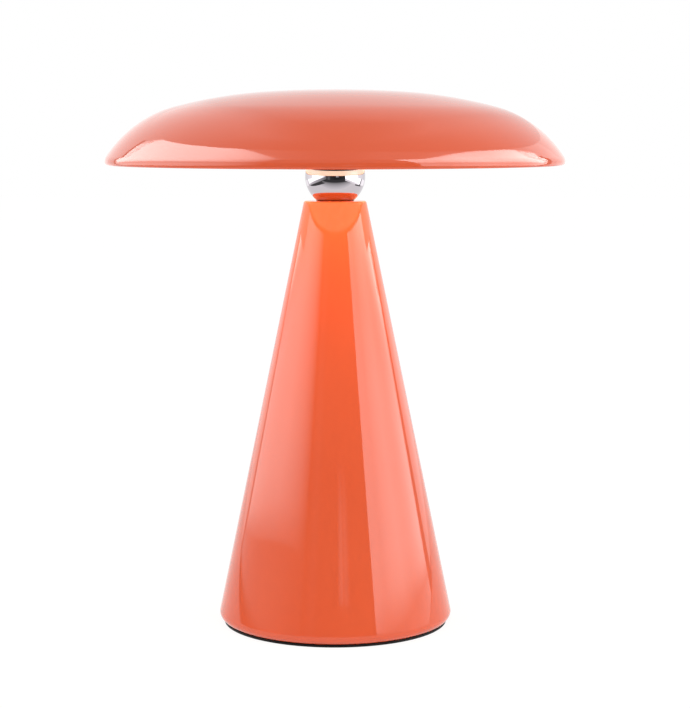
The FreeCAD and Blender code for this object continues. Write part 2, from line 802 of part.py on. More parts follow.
def shade_studs():
    """Threaded studs welded under the crown, which the lamp plate is screwed to."""
    inside = shade_inside()
    studs = []
    for x, y in shade_stud_places():
        stud = cylinder(SHADE_STUD_DIAMETER, plate_top, inside.BoundBox.ZMax, x, y).common(inside)
        studs.append(stud.cut(cylinder(M4[0] + SCREW_GAP, plate_top, plate_top + 2 * M4[0], x, y)))
    return Part.makeCompound(studs)


def stud_screws():
    tip = plate_top + 3 * M4[0] / 2
    return Part.makeCompound([pan_screw(M4, x, y, hub_top, tip) for x, y in shade_stud_places()])


def hub_screw_places():
    return round_places(HUB_SCREW_COUNT, hub_screw_circle, 60)


hub_screw_seat = hub_low + M3[2] + SCREW_GAP


def ball_hub():
    """The moulded cup that sits on the ball, with a flange that carries the diffuser's inner edge."""
    hub = turned_polygon(
        (0, hub_low),
        (hub_radius + HUB_FLANGE_LAP, hub_low, HUB_FLANGE_THICKNESS / 3),
        (hub_radius + HUB_FLANGE_LAP, diffuser_low),
        (hub_radius, diffuser_low),
        (hub_radius, hub_top),
        (0, hub_top),
    )
    groove = tube(2 * (hub_radius - HUB_SKIRT), 2 * hub_boss_radius, hub_groove_low, hub_top)
    for x, y in hub_screw_places():
        groove = groove.cut(cylinder(HUB_PILLAR_DIAMETER, hub_groove_low, hub_top, x, y))
    hub = hub.cut(groove).cut(ball(2 * seat_sphere)).cut(cylinder(stem_hole, hub_low, hub_top))
    for x, y in hub_screw_places():
        hub = hub.cut(cylinder(M3[0] + 2 * SCREW_GAP, hub_low, hub_top, x, y))
        hub = hub.cut(cylinder(M3[1] + 2 * SCREW_GAP, hub_low, hub_screw_seat, x, y))
    return hub


def hub_screws():
    tip = plate_top + M3[0] / 2
    return Part.makeCompound(
        [pan_screw(M3, x, y, hub_screw_seat, tip) for x, y in hub_screw_places()]
    )


def lamp_plate():
    """The aluminium plate over the hub that carries the light board and hangs the shade on its studs."""
    plate = tube(LAMP_PLATE_DIAMETER, stem_hole, hub_top, plate_top)
    for x, y in shade_stud_places():
        plate = plate.cut(cylinder(M4[0] + 2 * SCREW_GAP, hub_top, plate_top, x, y))
    for x, y in hub_screw_places():
        plate = plate.cut(cylinder(M3[0] + SCREW_GAP, hub_top, plate_top, x, y))
    return plate.cut(cylinder(LEAD_DIAMETER + 2 * LEAD_GAP, hub_top, plate_top, lead_hole_x, 0))


def top_washer():
    return tube(TOP_WASHER_DIAMETER, stem_hole, plate_top, washer_high)


def top_nut():
    return hexagon_nut(washer_high, NUT_THICKNESS)


def led_board():
    return tube(LED_CIRCLE + LED_BOARD_WIDTH, LED_CIRCLE - LED_BOARD_WIDTH, led_board_low, hub_top)


def led_chips():
    chips = []
    for i in range(LED_COUNT):
        chip = block(LED_BREADTH, LED_LENGTH, LED_HEIGHT, LED_CIRCLE / 2, 0, led_board_low - LED_HEIGHT)
        chip.rotate(ORIGIN, AXIS, 360 * i / LED_COUNT)
        chips.append(chip)
    return Part.makeCompound(chips)


def diffuser():
    outer = shade_hem_radius - DIFFUSER_EDGE_GAP
    inner = hub_radius + SEATING_GAP
    edge = DIFFUSER_THICKNESS / 4
    return turned_polygon(
        (inner, diffuser_low), (outer, diffuser_low, edge), (outer, diffuser_top, edge), (inner, diffuser_top)
    )


def head_lead():
    """The lead up the stem, over the lamp plate and down through it to the light board."""
    bend = 1.5 * LEAD_DIAMETER
    over = stem_top + bend + LEAD_DIAMETER
    under = led_board_low - bend - LEAD_GAP
    pad_x = LED_CIRCLE / 2 - LED_BOARD_WIDTH / 2 + LEAD_DIAMETER
    route = [
        FreeCAD.Vector(0, 0, stem_low),
        FreeCAD.Vector(0, 0, over),
        FreeCAD.Vector(lead_hole_x, 0, over),
        FreeCAD.Vector(lead_hole_x, 0, under),
        FreeCAD.Vector(pad_x, 0, under),
        FreeCAD.Vector(pad_x, 0, led_board_low),
    ]
    return lead(route, LEAD_DIAMETER, bend)


PIECES = (
    cone_body,
    foot_ring,
    base_plate,
    base_screws,
    mounting_ring,
    stop_stud,
    ballast_weight,
    battery_carrier,
    carrier_screws,
    battery_cells,
    cell_links,
    control_board,
    board_screws,
    board_components,
    usb_socket,
    usb_bezel,
    supply_lead,
    touch_lead,
    swivel_seat,
    thrust_washer,
    chrome_ball,
    stem_tube,
    pressure_saddle,
    disc_springs,
    stem_nut,
    shade_shell,
    shade_studs,
    stud_screws,
    ball_hub,
    hub_screws,
    lamp_plate,
    top_washer,
    top_nut,
    led_board,
    led_chips,
    diffuser,
    head_lead,
)


def main():
    os.makedirs("parts", exist_ok=True)
    for piece in PIECES:
        shape = piece()
        print(f"{piece.__name__}: {len(shape.Solids)} solids, {shape.Volume / 1000:.2f} cm3")
        shape.exportStep(f"parts/{piece.__name__}.step")


main()
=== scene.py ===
# %% [markdown]
# # A cordless desk lamp
#
# This lesson dresses a finished CAD model of a desk lamp: a glossy coral cone, a chrome ball in its neck
# and a wide shallow dome of a shade. The CAD model comes in as a fixed frame in metres. The round pieces
# that catch the eye are turned again here with finer outlines, because a gloss finish shows every facet.
# The pieces inside keep their CAD shapes and get finishes of their own.

# %% Load the frame
import math

import bpy
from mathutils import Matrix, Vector


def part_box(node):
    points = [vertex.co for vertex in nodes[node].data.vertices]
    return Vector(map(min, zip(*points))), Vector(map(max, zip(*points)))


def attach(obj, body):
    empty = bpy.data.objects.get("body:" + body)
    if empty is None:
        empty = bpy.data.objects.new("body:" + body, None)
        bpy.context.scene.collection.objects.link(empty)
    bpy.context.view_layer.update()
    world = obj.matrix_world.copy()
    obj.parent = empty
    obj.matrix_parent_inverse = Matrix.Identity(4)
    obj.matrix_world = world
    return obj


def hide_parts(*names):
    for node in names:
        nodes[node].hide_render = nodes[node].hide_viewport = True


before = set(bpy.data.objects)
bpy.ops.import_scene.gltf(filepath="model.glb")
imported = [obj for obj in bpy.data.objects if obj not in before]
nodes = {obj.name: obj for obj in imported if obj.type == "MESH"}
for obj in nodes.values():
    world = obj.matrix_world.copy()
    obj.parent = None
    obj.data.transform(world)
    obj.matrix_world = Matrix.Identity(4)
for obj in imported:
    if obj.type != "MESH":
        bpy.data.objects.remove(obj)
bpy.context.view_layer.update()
MM = 0.001

# %% [markdown]
# ## Colours and nodes
#
# Colours are given as a screen shows them, so they are written as sRGB hex values, and one function turns
# them to the linear numbers that a shader counts in. A second function adds a shader node, fills in its
# sockets and links it. With these two, each finish below reads as a short recipe.


# %% Helpers for finishes
def colour(hex_value):
    """An sRGB hex value such as "#d9503a" as a linear colour with alpha."""
    channels = [int(hex_value[i : i + 2], 16) / 255 for i in (1, 3, 5)]
    linear = [c / 12.92 if c <= 0.04045 else ((c + 0.055) / 1.055) ** 2.4 for c in channels]
    return (*linear, 1.0)


def add_node(tree, kind, inputs=None, **settings):
    """Adds a shader node. inputs maps a socket's name or number to a value or to another node's socket."""
    made = tree.nodes.new("ShaderNode" + kind)
    for name, value in settings.items():
        setattr(made, name, value)
    for name, value in (inputs or {}).items():
        if isinstance(value, bpy.types.NodeSocket):
            tree.links.new(value, made.inputs[name])
        else:
            made.inputs[name].default_value = value
    return made


def start_finish(name, sockets):
    """A material with one Principled shader. Returns the material, its tree, the shader and the place."""
    material = bpy.data.materials.new(name)
    material.use_nodes = True
    tree = material.node_tree
    shader = tree.nodes["Principled BSDF"]
    for socket, value in sockets.items():
        shader.inputs[socket].default_value = value
    place = add_node(tree, "TexCoord").outputs["Object"]
    return material, tree, shader, place


def per_mm(size_mm):
    """The texture scale at which one feature is about size_mm across."""
    return 1 / (size_mm * MM)


# %% [markdown]
# ## Coral lacquer
#
# The cone and the shade are spun steel, sprayed with a high-gloss coral lacquer. The gloss gives sharp
# reflections of the studio's panels, and the colour under it is even, with the least drift where the spray
# overlapped. Sprayed coats dry with a faint orange peel, ripples about 2 mm across and only microns high,
# so the bump is kept just strong enough to soften the edge of a reflection. One gloss layer is enough: a
# second coat over it would add a haze that the photo doesn't have.

# %% Coral lacquer
coral, tree, shader, place = start_finish("coral_lacquer", {"Roughness": 0.045, "IOR": 1.5})
drift = add_node(tree, "TexNoise", {"Vector": place, "Scale": per_mm(60), "Detail": 2.0})
tint = add_node(tree, "ValToRGB", {"Fac": drift.outputs["Fac"]})
tint.color_ramp.elements[0].position = 0.3
tint.color_ramp.elements[0].color = colour("#de5f3e")
tint.color_ramp.elements[1].position = 0.7
tint.color_ramp.elements[1].color = colour("#e16342")
tree.links.new(tint.outputs["Color"], shader.inputs["Base Color"])
peel = add_node(tree, "TexNoise", {"Vector": place, "Scale": per_mm(2.2), "Detail": 1.0})
ripple = add_node(tree, "Bump", {"Height": peel.outputs["Fac"], "Strength": 0.03, "Distance": 0.02 * MM})
tree.links.new(ripple.outputs["Normal"], shader.inputs["Normal"])
print("made", coral.name)

# %% [markdown]
# ## Chrome
#
# The ball is polished steel with bright chrome over nickel, a mirror. Its colour carries a pink tint:
# painted reflection of the coral cone and shade, on top of the chrome's own pale grey. A real mirror is
# never wiped quite clean, so a soft noise lifts the roughness a little in patches about 9 mm across.

# %% Mirror chrome
# The pink in this colour is painted reflection of the coral cone and shade, over the chrome's own pale
# grey.
chrome, tree, shader, place = start_finish(
    "mirror_chrome_painted_coral_tint", {"Base Color": colour("#c6bfc5"), "Metallic": 1.0}
)
film = add_node(tree, "TexNoise", {"Vector": place, "Scale": per_mm(9), "Detail": 3.0})
polish = add_node(
    tree, "MapRange", {"Value": film.outputs["Fac"], "To Min": 0.005, "To Max": 0.02}
)
tree.links.new(polish.outputs["Result"], shader.inputs["Roughness"])
print("made", chrome.name)

# %% [markdown]
# ## Opal acrylic
#
# The light comes through a flat ring of opal acrylic with a satin underside. Lit from above by a circle of
# warm white chips, it glows nearly evenly, a little stronger under the chips and dimmer at its two edges.
# The glow follows the distance from the lamp's axis, so a gradient reads it from the place on the ring.

# %% Opal acrylic
CHIP_CIRCLE_MM = 55.5
opal, tree, shader, place = start_finish(
    "opal_acrylic",
    {
        "Base Color": colour("#f3efe4"),
        "Roughness": 0.38,
        "IOR": 1.49,
        "Subsurface Weight": 0.25,
        "Subsurface Radius": (2 * MM, 2 * MM, 1.6 * MM),
        "Emission Color": colour("#ffdbae"),
    },
)
flat = add_node(tree, "VectorMath", {0: place, 1: (1.0, 1.0, 0.0)}, operation="MULTIPLY")
reach = add_node(tree, "VectorMath", {0: flat.outputs["Vector"]}, operation="LENGTH")
away = add_node(
    tree, "Math", {0: reach.outputs["Value"], 1: CHIP_CIRCLE_MM * MM}, operation="SUBTRACT"
)
apart = add_node(tree, "Math", {0: away.outputs["Value"]}, operation="ABSOLUTE")
glow = add_node(
    tree,
    "MapRange",
    {"Value": apart.outputs["Value"], "From Max": CHIP_CIRCLE_MM * MM, "To Min": 1.05, "To Max": 0.8},
    interpolation_type="SMOOTHSTEP",
)
tree.links.new(glow.outputs["Result"], shader.inputs["Emission Strength"])
satin = add_node(tree, "TexNoise", {"Vector": place, "Scale": per_mm(0.8), "Detail": 2.0})
frost = add_node(tree, "Bump", {"Height": satin.outputs["Fac"], "Strength": 0.1, "Distance": 0.05 * MM})
tree.links.new(frost.outputs["Normal"], shader.inputs["Normal"])
print("made", opal.name)

# %% [markdown]
# ## Grained finishes
#
# The other materials differ in colour, gloss and the size of their grain, and share one recipe: a noise as
# fine as the grain tints the colour between two shades, varies the roughness and raises a small bump. Sizes
# are those of the real surfaces: spark-eroded plastic, tumbled zinc plate, cast iron, woven board. Grain
# under about 0.5 mm is drawn coarser than it is, so that it still shows.

# %% Grained finishes
GLOSS_SWING = 0.06
GRAIN_STRENGTH = 0.4


def grained(name, light, dark, metallic, roughness, grain_mm, height_mm, shine=0.5):
    """A finish from its two shades, its gloss, and its grain's width and height in millimetres."""
    sockets = {"Metallic": metallic, "Specular IOR Level": shine}
    material, tree, shader, place = start_finish(name, sockets)
    grain = add_node(tree, "TexNoise", {"Vector": place, "Scale": per_mm(grain_mm), "Detail": 4.0})
    shade = add_node(tree, "ValToRGB", {"Fac": grain.outputs["Fac"]})
    shade.color_ramp.elements[0].position = 0.3
    shade.color_ramp.elements[0].color = colour(dark)
    shade.color_ramp.elements[1].position = 0.7
    shade.color_ramp.elements[1].color = colour(light)
    least, most = roughness - GLOSS_SWING, roughness + GLOSS_SWING
    rub = add_node(
        tree, "MapRange", {"Value": grain.outputs["Fac"], "To Min": least, "To Max": most}
    )
    bump = add_node(
        tree,
        "Bump",
        {"Height": grain.outputs["Fac"], "Strength": GRAIN_STRENGTH, "Distance": height_mm * MM},
    )
    tree.links.new(shade.outputs["Color"], shader.inputs["Base Color"])
    tree.links.new(rub.outputs["Result"], shader.inputs["Roughness"])
    tree.links.new(bump.outputs["Normal"], shader.inputs["Normal"])
    return material


rubber = grained("matte_rubber", "#1b1919", "#121010", 0.0, 0.72, 0.5, 0.02, shine=0.2)
abs_black = grained("moulded_black_abs", "#1d1d1e", "#141415", 0.0, 0.5, 0.5, 0.02)
abs_grey = grained("moulded_grey_abs", "#4b4d51", "#404246", 0.0, 0.52, 0.5, 0.02)
acetal = grained("coral_acetal", "#c4523c", "#b84a35", 0.0, 0.35, 1.2, 0.005)
nylon = grained("natural_nylon", "#e2dfd0", "#d6d2c1", 0.0, 0.45, 1.5, 0.005)
zinc = grained("zinc_plated_steel", "#cfd3d8", "#b3b6b9", 1.0, 0.28, 0.9, 0.004)
spring_steel = grained("oiled_spring_steel", "#77777c", "#5d5d62", 1.0, 0.34, 1.0, 0.004)
iron = grained("cast_iron", "#3a3a3c", "#262628", 0.6, 0.68, 1.4, 0.12)
aluminium = grained("rolled_aluminium", "#d4d5d8", "#bfc1c4", 1.0, 0.36, 0.7, 0.003)
white_mask = grained("white_solder_mask", "#f1f1ee", "#e6e6e2", 0.0, 0.4, 0.8, 0.004)
phosphor = grained("phosphor_chip", "#f3d873", "#e6c24d", 0.0, 0.42, 0.6, 0.01)
green_mask = grained("green_solder_mask", "#1d6b45", "#145235", 0.0, 0.33, 0.9, 0.01)
epoxy = grained("moulded_epoxy", "#242427", "#19191c", 0.0, 0.55, 0.5, 0.01)
stainless = grained("drawn_stainless", "#cdced1", "#b4b6ba", 1.0, 0.26, 0.8, 0.003)
cell_film = grained("shrink_film", "#2d5fa8", "#234f92", 0.0, 0.25, 2.0, 0.02)
nickel = grained("nickel_strip", "#cbc6b8", "#b5b0a2", 1.0, 0.3, 0.8, 0.003)
gilt = grained("gilt_contact", "#e0bd6a", "#cda552", 1.0, 0.25, 0.5, 0.002)
silicone = grained("silicone_jacket", "#e9e7e0", "#dbd8cf", 0.0, 0.5, 0.8, 0.01)
print("made the grained finishes, from", rubber.name, "to", silicone.name)

# %% [markdown]
# ## Dress the CAD pieces
#
# Each CAD piece gets the finish of the stuff it is made of. Pieces that are turned again further on keep
# theirs as well, since the new piece takes the same one.

# %% Dress the CAD pieces
FINISHES = {
    coral: ["cone_body", "shade_shell"],
    chrome: ["chrome_ball"],
    opal: ["diffuser"],
    rubber: ["foot_ring"],
    abs_black: ["base_plate", "ball_hub", "usb_bezel"],
    abs_grey: ["battery_carrier"],
    acetal: ["swivel_seat"],
    nylon: ["thrust_washer"],
    zinc: [
        "base_screws",
        "mounting_ring",
        "stop_stud",
        "carrier_screws",
        "board_screws",
        "stem_tube",
        "stem_nut",
        "pressure_saddle",
        "stud_screws",
        "hub_screws",
        "shade_studs",
        "top_washer",
        "top_nut",
    ],
    spring_steel: ["disc_springs"],
    iron: ["ballast_weight"],
    aluminium: ["lamp_plate"],
    white_mask: ["led_board"],
    phosphor: ["led_chips"],
    green_mask: ["control_board"],
    epoxy: ["board_components"],
    stainless: ["usb_socket"],
    cell_film: ["battery_cells"],
    nickel: ["cell_links"],
    silicone: ["supply_lead", "touch_lead", "head_lead"],
}


def dress(piece, material):
    piece.data.materials.clear()
    piece.data.materials.append(material)


for material, names in FINISHES.items():
    for name in names:
        dress(nodes[name], material)
print("dressed:", sum(len(names) for names in FINISHES.values()), "of", len(nodes))

# %% [markdown]
# ## Turning a piece
#
# Nearly every piece that shows is round, and a maker would turn it on a lathe. The same way works here: one
# point is drawn out into an outline with extrude, and spin sweeps the outline about the lamp's axis. A
# modifier such as Screw would do as well, but spin leaves a plain mesh that can be cut further. Doubles on
# the axis are merged before the normals are made to point outwards.

# %% Helpers for turned pieces
TURN_STEPS = 256
EDGE_STEPS = 6
DOUBLES_GAP = 0.002
END_SHARE = 0.004
SHARP_ANGLE = math.radians(30)


def deselect():
    bpy.ops.object.select_all(action="DESELECT")


def turn_outline(name, outline, steps=TURN_STEPS):
    """Spins an outline of (r, z) points in millimetres about the lamp's axis."""
    places = [Vector((r * MM, 0, z * MM)) for r, z in outline]
    deselect()
    bpy.ops.mesh.primitive_plane_add(size=MM)
    piece = bpy.context.object
    piece.name = name
    piece.data.name = name
    bpy.ops.object.mode_set(mode="EDIT")
    bpy.ops.mesh.select_mode(type="VERT")
    bpy.ops.mesh.select_all(action="SELECT")
    bpy.ops.mesh.merge(type="CENTER")
    bpy.ops.transform.translate(value=places[0])
    for here, after in zip(places, places[1:]):
        bpy.ops.mesh.extrude_vertices_move(TRANSFORM_OT_translate={"value": after - here})
    bpy.ops.mesh.select_all(action="SELECT")
    bpy.ops.mesh.spin(steps=steps, angle=2 * math.pi, center=(0, 0, 0), axis=(0, 0, 1))
    bpy.ops.mesh.select_all(action="SELECT")
    bpy.ops.mesh.remove_doubles(threshold=DOUBLES_GAP * MM)
    bpy.ops.mesh.normals_make_consistent(inside=False)
    bpy.ops.object.mode_set(mode="OBJECT")
    bpy.ops.object.shade_smooth_by_angle(angle=SHARP_ANGLE)
    return piece


def arc_points(centre, radius, start, end, count):
    """Points of an arc about (r, z). Angles are in degrees, turned from straight up towards outwards."""
    points = []
    for i in range(count + 1):
        turn = math.radians(start + (end - start) * i / count)
        points.append((centre[0] + radius * math.sin(turn), centre[1] + radius * math.cos(turn)))
    return points


def straight_points(start, end, count):
    """Points along a straight run, without its ends, with one close to each end to keep the run flat."""
    shares = [END_SHARE] + [i / count for i in range(1, count)] + [1 - END_SHARE]
    return [tuple(a + (b - a) * share for a, b in zip(start, end)) for share in shares]


def settle(piece, material, body, slot, *replaced):
    """Gives a piece its finish, its body and the CAD nodes that it stands for."""
    dress(piece, material)
    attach(piece, body)
    if replaced:
        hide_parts(*replaced)
    print("made", piece.name, "with", len(piece.data.polygons), "faces")


# %% [markdown]
# ## The shade
#
# The dome is one thin wall. Its outline is arcs that flow into each other: a nearly flat crown, a haunch, a
# tighter shoulder, a turn to the upright, and after a short straight band a small lip that folds under to a
# flat hem. The inside follows the same centres with radii smaller by the wall. The outline starts and ends
# on the axis, so the spin closes it.

# %% The shade
SHADE_WALL = 1.2
SHADE_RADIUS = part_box("shade_shell")[1][0] / MM
RIM_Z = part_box("shade_shell")[0][2] / MM
TURN_RADIUS = 5.0
BAND_TALL = 0.4
LIP_RADIUS = 1.4
HEM_WIDTH = 4.2
HEM_RADIUS = SHADE_RADIUS - LIP_RADIUS - HEM_WIDTH
CROWN_RADIUS = 525.0
HAUNCH_RADIUS = 236.0
HAUNCH_WIDTH = 45.0
SHOULDER_WIDTH = 34.4
RIM_SLOPE = 56.4


def shade_arcs():
    """Centre, radius, start and end of the crown, the haunch, the shoulder, the turn and the lip."""
    rim_lean = math.sin(math.radians(RIM_SLOPE))
    crown_lean = (SHADE_RADIUS - SHOULDER_WIDTH - HAUNCH_WIDTH) / CROWN_RADIUS
    haunch_lean = crown_lean + HAUNCH_WIDTH / HAUNCH_RADIUS
    shoulder_radius = (SHOULDER_WIDTH - TURN_RADIUS * (1 - rim_lean)) / (rim_lean - haunch_lean)
    radii = [CROWN_RADIUS, HAUNCH_RADIUS, shoulder_radius, TURN_RADIUS, LIP_RADIUS]
    ends = [math.degrees(math.asin(lean)) for lean in (crown_lean, haunch_lean, rim_lean)] + [90, 180]
    centres = [(SHADE_RADIUS - TURN_RADIUS, RIM_Z + LIP_RADIUS + BAND_TALL)]
    for i in (2, 1, 0):
        turn = math.radians(ends[i])
        gap = radii[i] - radii[i + 1]
        r, z = centres[0]
        centres.insert(0, (r - gap * math.sin(turn), z - gap * math.cos(turn)))
    centres.append((SHADE_RADIUS - LIP_RADIUS, RIM_Z + LIP_RADIUS))
    return list(zip(centres, radii, [0, *ends[:-1]], ends))


ARC_STEPS = (10, 16, 44, 16, 10)
outer = []
inner = []
for (centre, radius, start, end), count in zip(shade_arcs(), ARC_STEPS):
    skipped = 1 if 0 < start < 90 else 0
    outer += arc_points(centre, radius, start, end, count)[skipped:]
    inner += arc_points(centre, radius - SHADE_WALL, start, end, count // 2)[skipped:]
hem = [(HEM_RADIUS, RIM_Z), (HEM_RADIUS, RIM_Z + SHADE_WALL)]
shade = turn_outline("shade", outer + hem + inner[::-1])
settle(shade, coral, "head", "coral_lacquer", "shade_shell")

# %% [markdown]
# ## The cone
#
# The base is a spun cone with a flat top. Its edge at the top is broken by a small round, and the foot
# rolls under to a hem. A long straight side shades wrongly if its last points also belong to a curve, so
# the run gets extra points close to both ends. The hole for the charging port is cut with a Boolean at the
# back.

# %% The cone
BASE_RADIUS = 59.65
CONE_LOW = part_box("cone_body")[0][2] / MM
CONE_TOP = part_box("cone_body")[1][2] / MM
CONE_WALL = 1.5
FOOT_ROUND = 4.0
NECK_ROUND = 1.4
NECK_RADIUS = 15.545
NECK_HOLE_RADIUS = 9.595
FOOT_HEM_WIDTH = 9.5
HEM_OPENING = BASE_RADIUS - FOOT_HEM_WIDTH
half_angle = math.degrees(math.atan((BASE_RADIUS - NECK_RADIUS) / (CONE_TOP - CONE_LOW)))
slope = math.tan(math.radians(half_angle))
across = CONE_WALL * math.hypot(1, slope)


def cone_radius(z):
    return BASE_RADIUS - (z - CONE_LOW) * slope


def round_centre_r(z, radius):
    """The r of a round's centre at the height z, where the round touches the cone from inside."""
    return cone_radius(z) - radius * math.hypot(1, slope)


top_z = CONE_TOP - NECK_ROUND
foot_z = CONE_LOW + FOOT_ROUND
side_angle = 90 - half_angle
top_round = arc_points((round_centre_r(top_z, NECK_ROUND), top_z), NECK_ROUND, 0, side_angle, 10)
foot_round = arc_points((round_centre_r(foot_z, FOOT_ROUND), foot_z), FOOT_ROUND, side_angle, 180, 20)
inside_round = arc_points(
    (round_centre_r(foot_z, FOOT_ROUND), foot_z), FOOT_ROUND - CONE_WALL, 180, side_angle, 10
)
ceiling = CONE_TOP - CONE_WALL
inside_top = (cone_radius(ceiling) - across, ceiling)
HOLE_BREAK = 0.15
outline = [(NECK_HOLE_RADIUS, CONE_TOP - HOLE_BREAK), (NECK_HOLE_RADIUS + HOLE_BREAK, CONE_TOP)]
outline += straight_points(outline[-1], top_round[0], 3) + top_round
outline += straight_points(top_round[-1], foot_round[0], 40) + foot_round
outline += [(HEM_OPENING, CONE_LOW), (HEM_OPENING, CONE_LOW + CONE_WALL)] + inside_round
outline += straight_points(inside_round[-1], inside_top, 20) + [inside_top]
outline += [(NECK_HOLE_RADIUS, ceiling), (NECK_HOLE_RADIUS, CONE_TOP - HOLE_BREAK)]
cone = turn_outline("cone", outline)
print("the cone's side leans", round(half_angle, 2), "degrees")

# %% [markdown]
# The port's hole is a flat pill. Its cutter is a cube at the hole's size with the edges that run through
# the wall rounded until the sides are half circles. The rounds stop just short of each other, because two
# that meet would leave doubled points.

# %% Helpers for cutting
PILL_SHARE = 0.998
PILL_STEPS = 12


def block_at(size, centre):
    """A plain block, sized and placed in millimetres."""
    deselect()
    bpy.ops.mesh.primitive_cube_add(size=1, location=[place * MM for place in centre])
    block = bpy.context.object
    bpy.ops.transform.resize(value=[side * MM for side in size])
    bpy.ops.object.transform_apply(location=True, rotation=True, scale=True)
    return block


def pill_at(size, centre):
    """A block with its edges along Y rounded until two of its sides are half circles."""
    pill = block_at(size, centre)
    bpy.ops.object.mode_set(mode="EDIT")
    bpy.ops.mesh.select_mode(type="EDGE")
    bpy.ops.mesh.select_all(action="DESELECT")
    bpy.ops.object.mode_set(mode="OBJECT")
    for edge in pill.data.edges:
        a, b = (pill.data.vertices[v].co for v in edge.vertices)
        edge.select = abs(a.y - b.y) > size[1] * MM / 2
    bpy.ops.object.mode_set(mode="EDIT")
    bpy.ops.mesh.bevel(offset=size[2] / 2 * PILL_SHARE * MM, segments=PILL_STEPS, affect="EDGES")
    bpy.ops.object.mode_set(mode="OBJECT")
    return pill


def cut(piece, cutter):
    """Cuts one piece out of another and removes the cutter."""
    deselect()
    piece.select_set(True)
    bpy.context.view_layer.objects.active = piece
    boolean = piece.modifiers.new("cut", "BOOLEAN")
    boolean.operation = "DIFFERENCE"
    boolean.solver = "EXACT"
    boolean.object = cutter
    bpy.ops.object.modifier_apply(modifier="cut")
    bpy.data.objects.remove(cutter)
    bpy.ops.object.shade_smooth_by_angle(angle=SHARP_ANGLE)


# %% The port's hole
PORT_WIDTH = 12.6
PORT_TALL = 6.8
PORT_Z = sum(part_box("usb_socket")[i][2] for i in (0, 1)) / 2 / MM
PORT_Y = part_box("usb_socket")[1][1] / MM
CUTTER_DEPTH = 20.0
cut(cone, pill_at((PORT_WIDTH, CUTTER_DEPTH, PORT_TALL), (0, PORT_Y, PORT_Z)))
settle(cone, coral, "base", "coral_lacquer", "cone_body")

# %% [markdown]
# ## The ball
#
# A mirror ball needs a truer sphere than a CAD mesh gives, so it is an arc of many points, spun. The stem's
# bore runs through it and stays out of sight between the hub and the seat.

# %% The ball
BALL_RADIUS = 15.0
BALL_Z = sum(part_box("chrome_ball")[i][2] for i in (0, 1)) / 2 / MM
BALL_ARC_STEPS = 96
BALL_TURN_STEPS = 160
BORE_RADIUS = 4.05
bore_angle = math.degrees(math.asin(BORE_RADIUS / BALL_RADIUS))
profile = arc_points((0, BALL_Z), BALL_RADIUS, bore_angle, 180 - bore_angle, BALL_ARC_STEPS)
ball = turn_outline("ball", profile + [profile[0]], BALL_TURN_STEPS)
settle(ball, chrome, "head", "chrome", "chrome_ball")

# %% [markdown]
# ## The foot
#
# Under the cone is a rubber ring. Its outer edges are soft, and its underside has two shallow grooves that
# let it grip a smooth table.

# %% The foot
FOOT_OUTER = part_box("foot_ring")[1][0] / MM
FOOT_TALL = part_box("foot_ring")[1][2] / MM
FOOT_WIDTH = 7.8
FOOT_INNER = FOOT_OUTER - FOOT_WIDTH
FOOT_EDGE = 0.3
GROOVE_WIDTH = 1.2
GROOVE_DEPTH = 0.4
GROOVE_INSETS = (2.4, 5.4)
foot_edge_r = FOOT_OUTER - FOOT_EDGE
outline = arc_points((foot_edge_r, FOOT_TALL - FOOT_EDGE), FOOT_EDGE, 0, 90, EDGE_STEPS)
outline += arc_points((foot_edge_r, FOOT_EDGE), FOOT_EDGE, 90, 180, EDGE_STEPS)
for inset in GROOVE_INSETS:
    middle = FOOT_OUTER - inset
    outline += [
        (middle + GROOVE_WIDTH / 2, 0),
        (middle + GROOVE_WIDTH / 4, GROOVE_DEPTH),
        (middle - GROOVE_WIDTH / 4, GROOVE_DEPTH),
        (middle - GROOVE_WIDTH / 2, 0),
    ]
outline += arc_points((FOOT_INNER + FOOT_EDGE, FOOT_EDGE), FOOT_EDGE, 180, 270, EDGE_STEPS)
outline += [(FOOT_INNER, FOOT_TALL), outline[0]]
foot = turn_outline("foot", outline)
settle(foot, rubber, "base", "foot_rubber", "foot_ring")

# %% [markdown]
# ## The diffuser
#
# The opal ring hangs inside the rim, on the hub's flange. Its outer edge is turned down to just above the
# rim, which stiffens it and fills the shade's mouth with light: the ball mirrors no coral inside the rim.

# %% The diffuser
DIFFUSER_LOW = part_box("diffuser")[0][2] / MM
DIFFUSER_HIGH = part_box("diffuser")[1][2] / MM
DIFFUSER_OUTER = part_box("diffuser")[1][0] / MM
DIFFUSER_INNER = 23.1
OPAL_EDGE = 0.5
RIM_GAP = 0.8
TURNED_WALL = 1.6
turned_inner = DIFFUSER_OUTER - TURNED_WALL
opal_edge_r = DIFFUSER_OUTER - OPAL_EDGE
turned_edge_z = RIM_Z + RIM_GAP + OPAL_EDGE
outline = [(DIFFUSER_INNER, DIFFUSER_HIGH)]
outline += arc_points((opal_edge_r, DIFFUSER_HIGH - OPAL_EDGE), OPAL_EDGE, 0, 90, EDGE_STEPS)
outline += arc_points((opal_edge_r, turned_edge_z), OPAL_EDGE, 90, 180, EDGE_STEPS)
outline += arc_points((turned_inner + OPAL_EDGE, turned_edge_z), OPAL_EDGE, 180, 270, EDGE_STEPS)
outline += [(turned_inner, DIFFUSER_LOW), (DIFFUSER_INNER, DIFFUSER_LOW), outline[0]]
diffuser = turn_outline("opal_ring", outline)
settle(diffuser, opal, "head", "opal_acrylic", "diffuser")

# %% [markdown]
# ## The hub
#
# A black moulded cup sits on the ball under the shade. Its flange carries the opal ring's inner edge. From
# below one sees the flange, the dish's edge and three screw heads in their counterbores. The counterbores
# are cut with short cylinders.

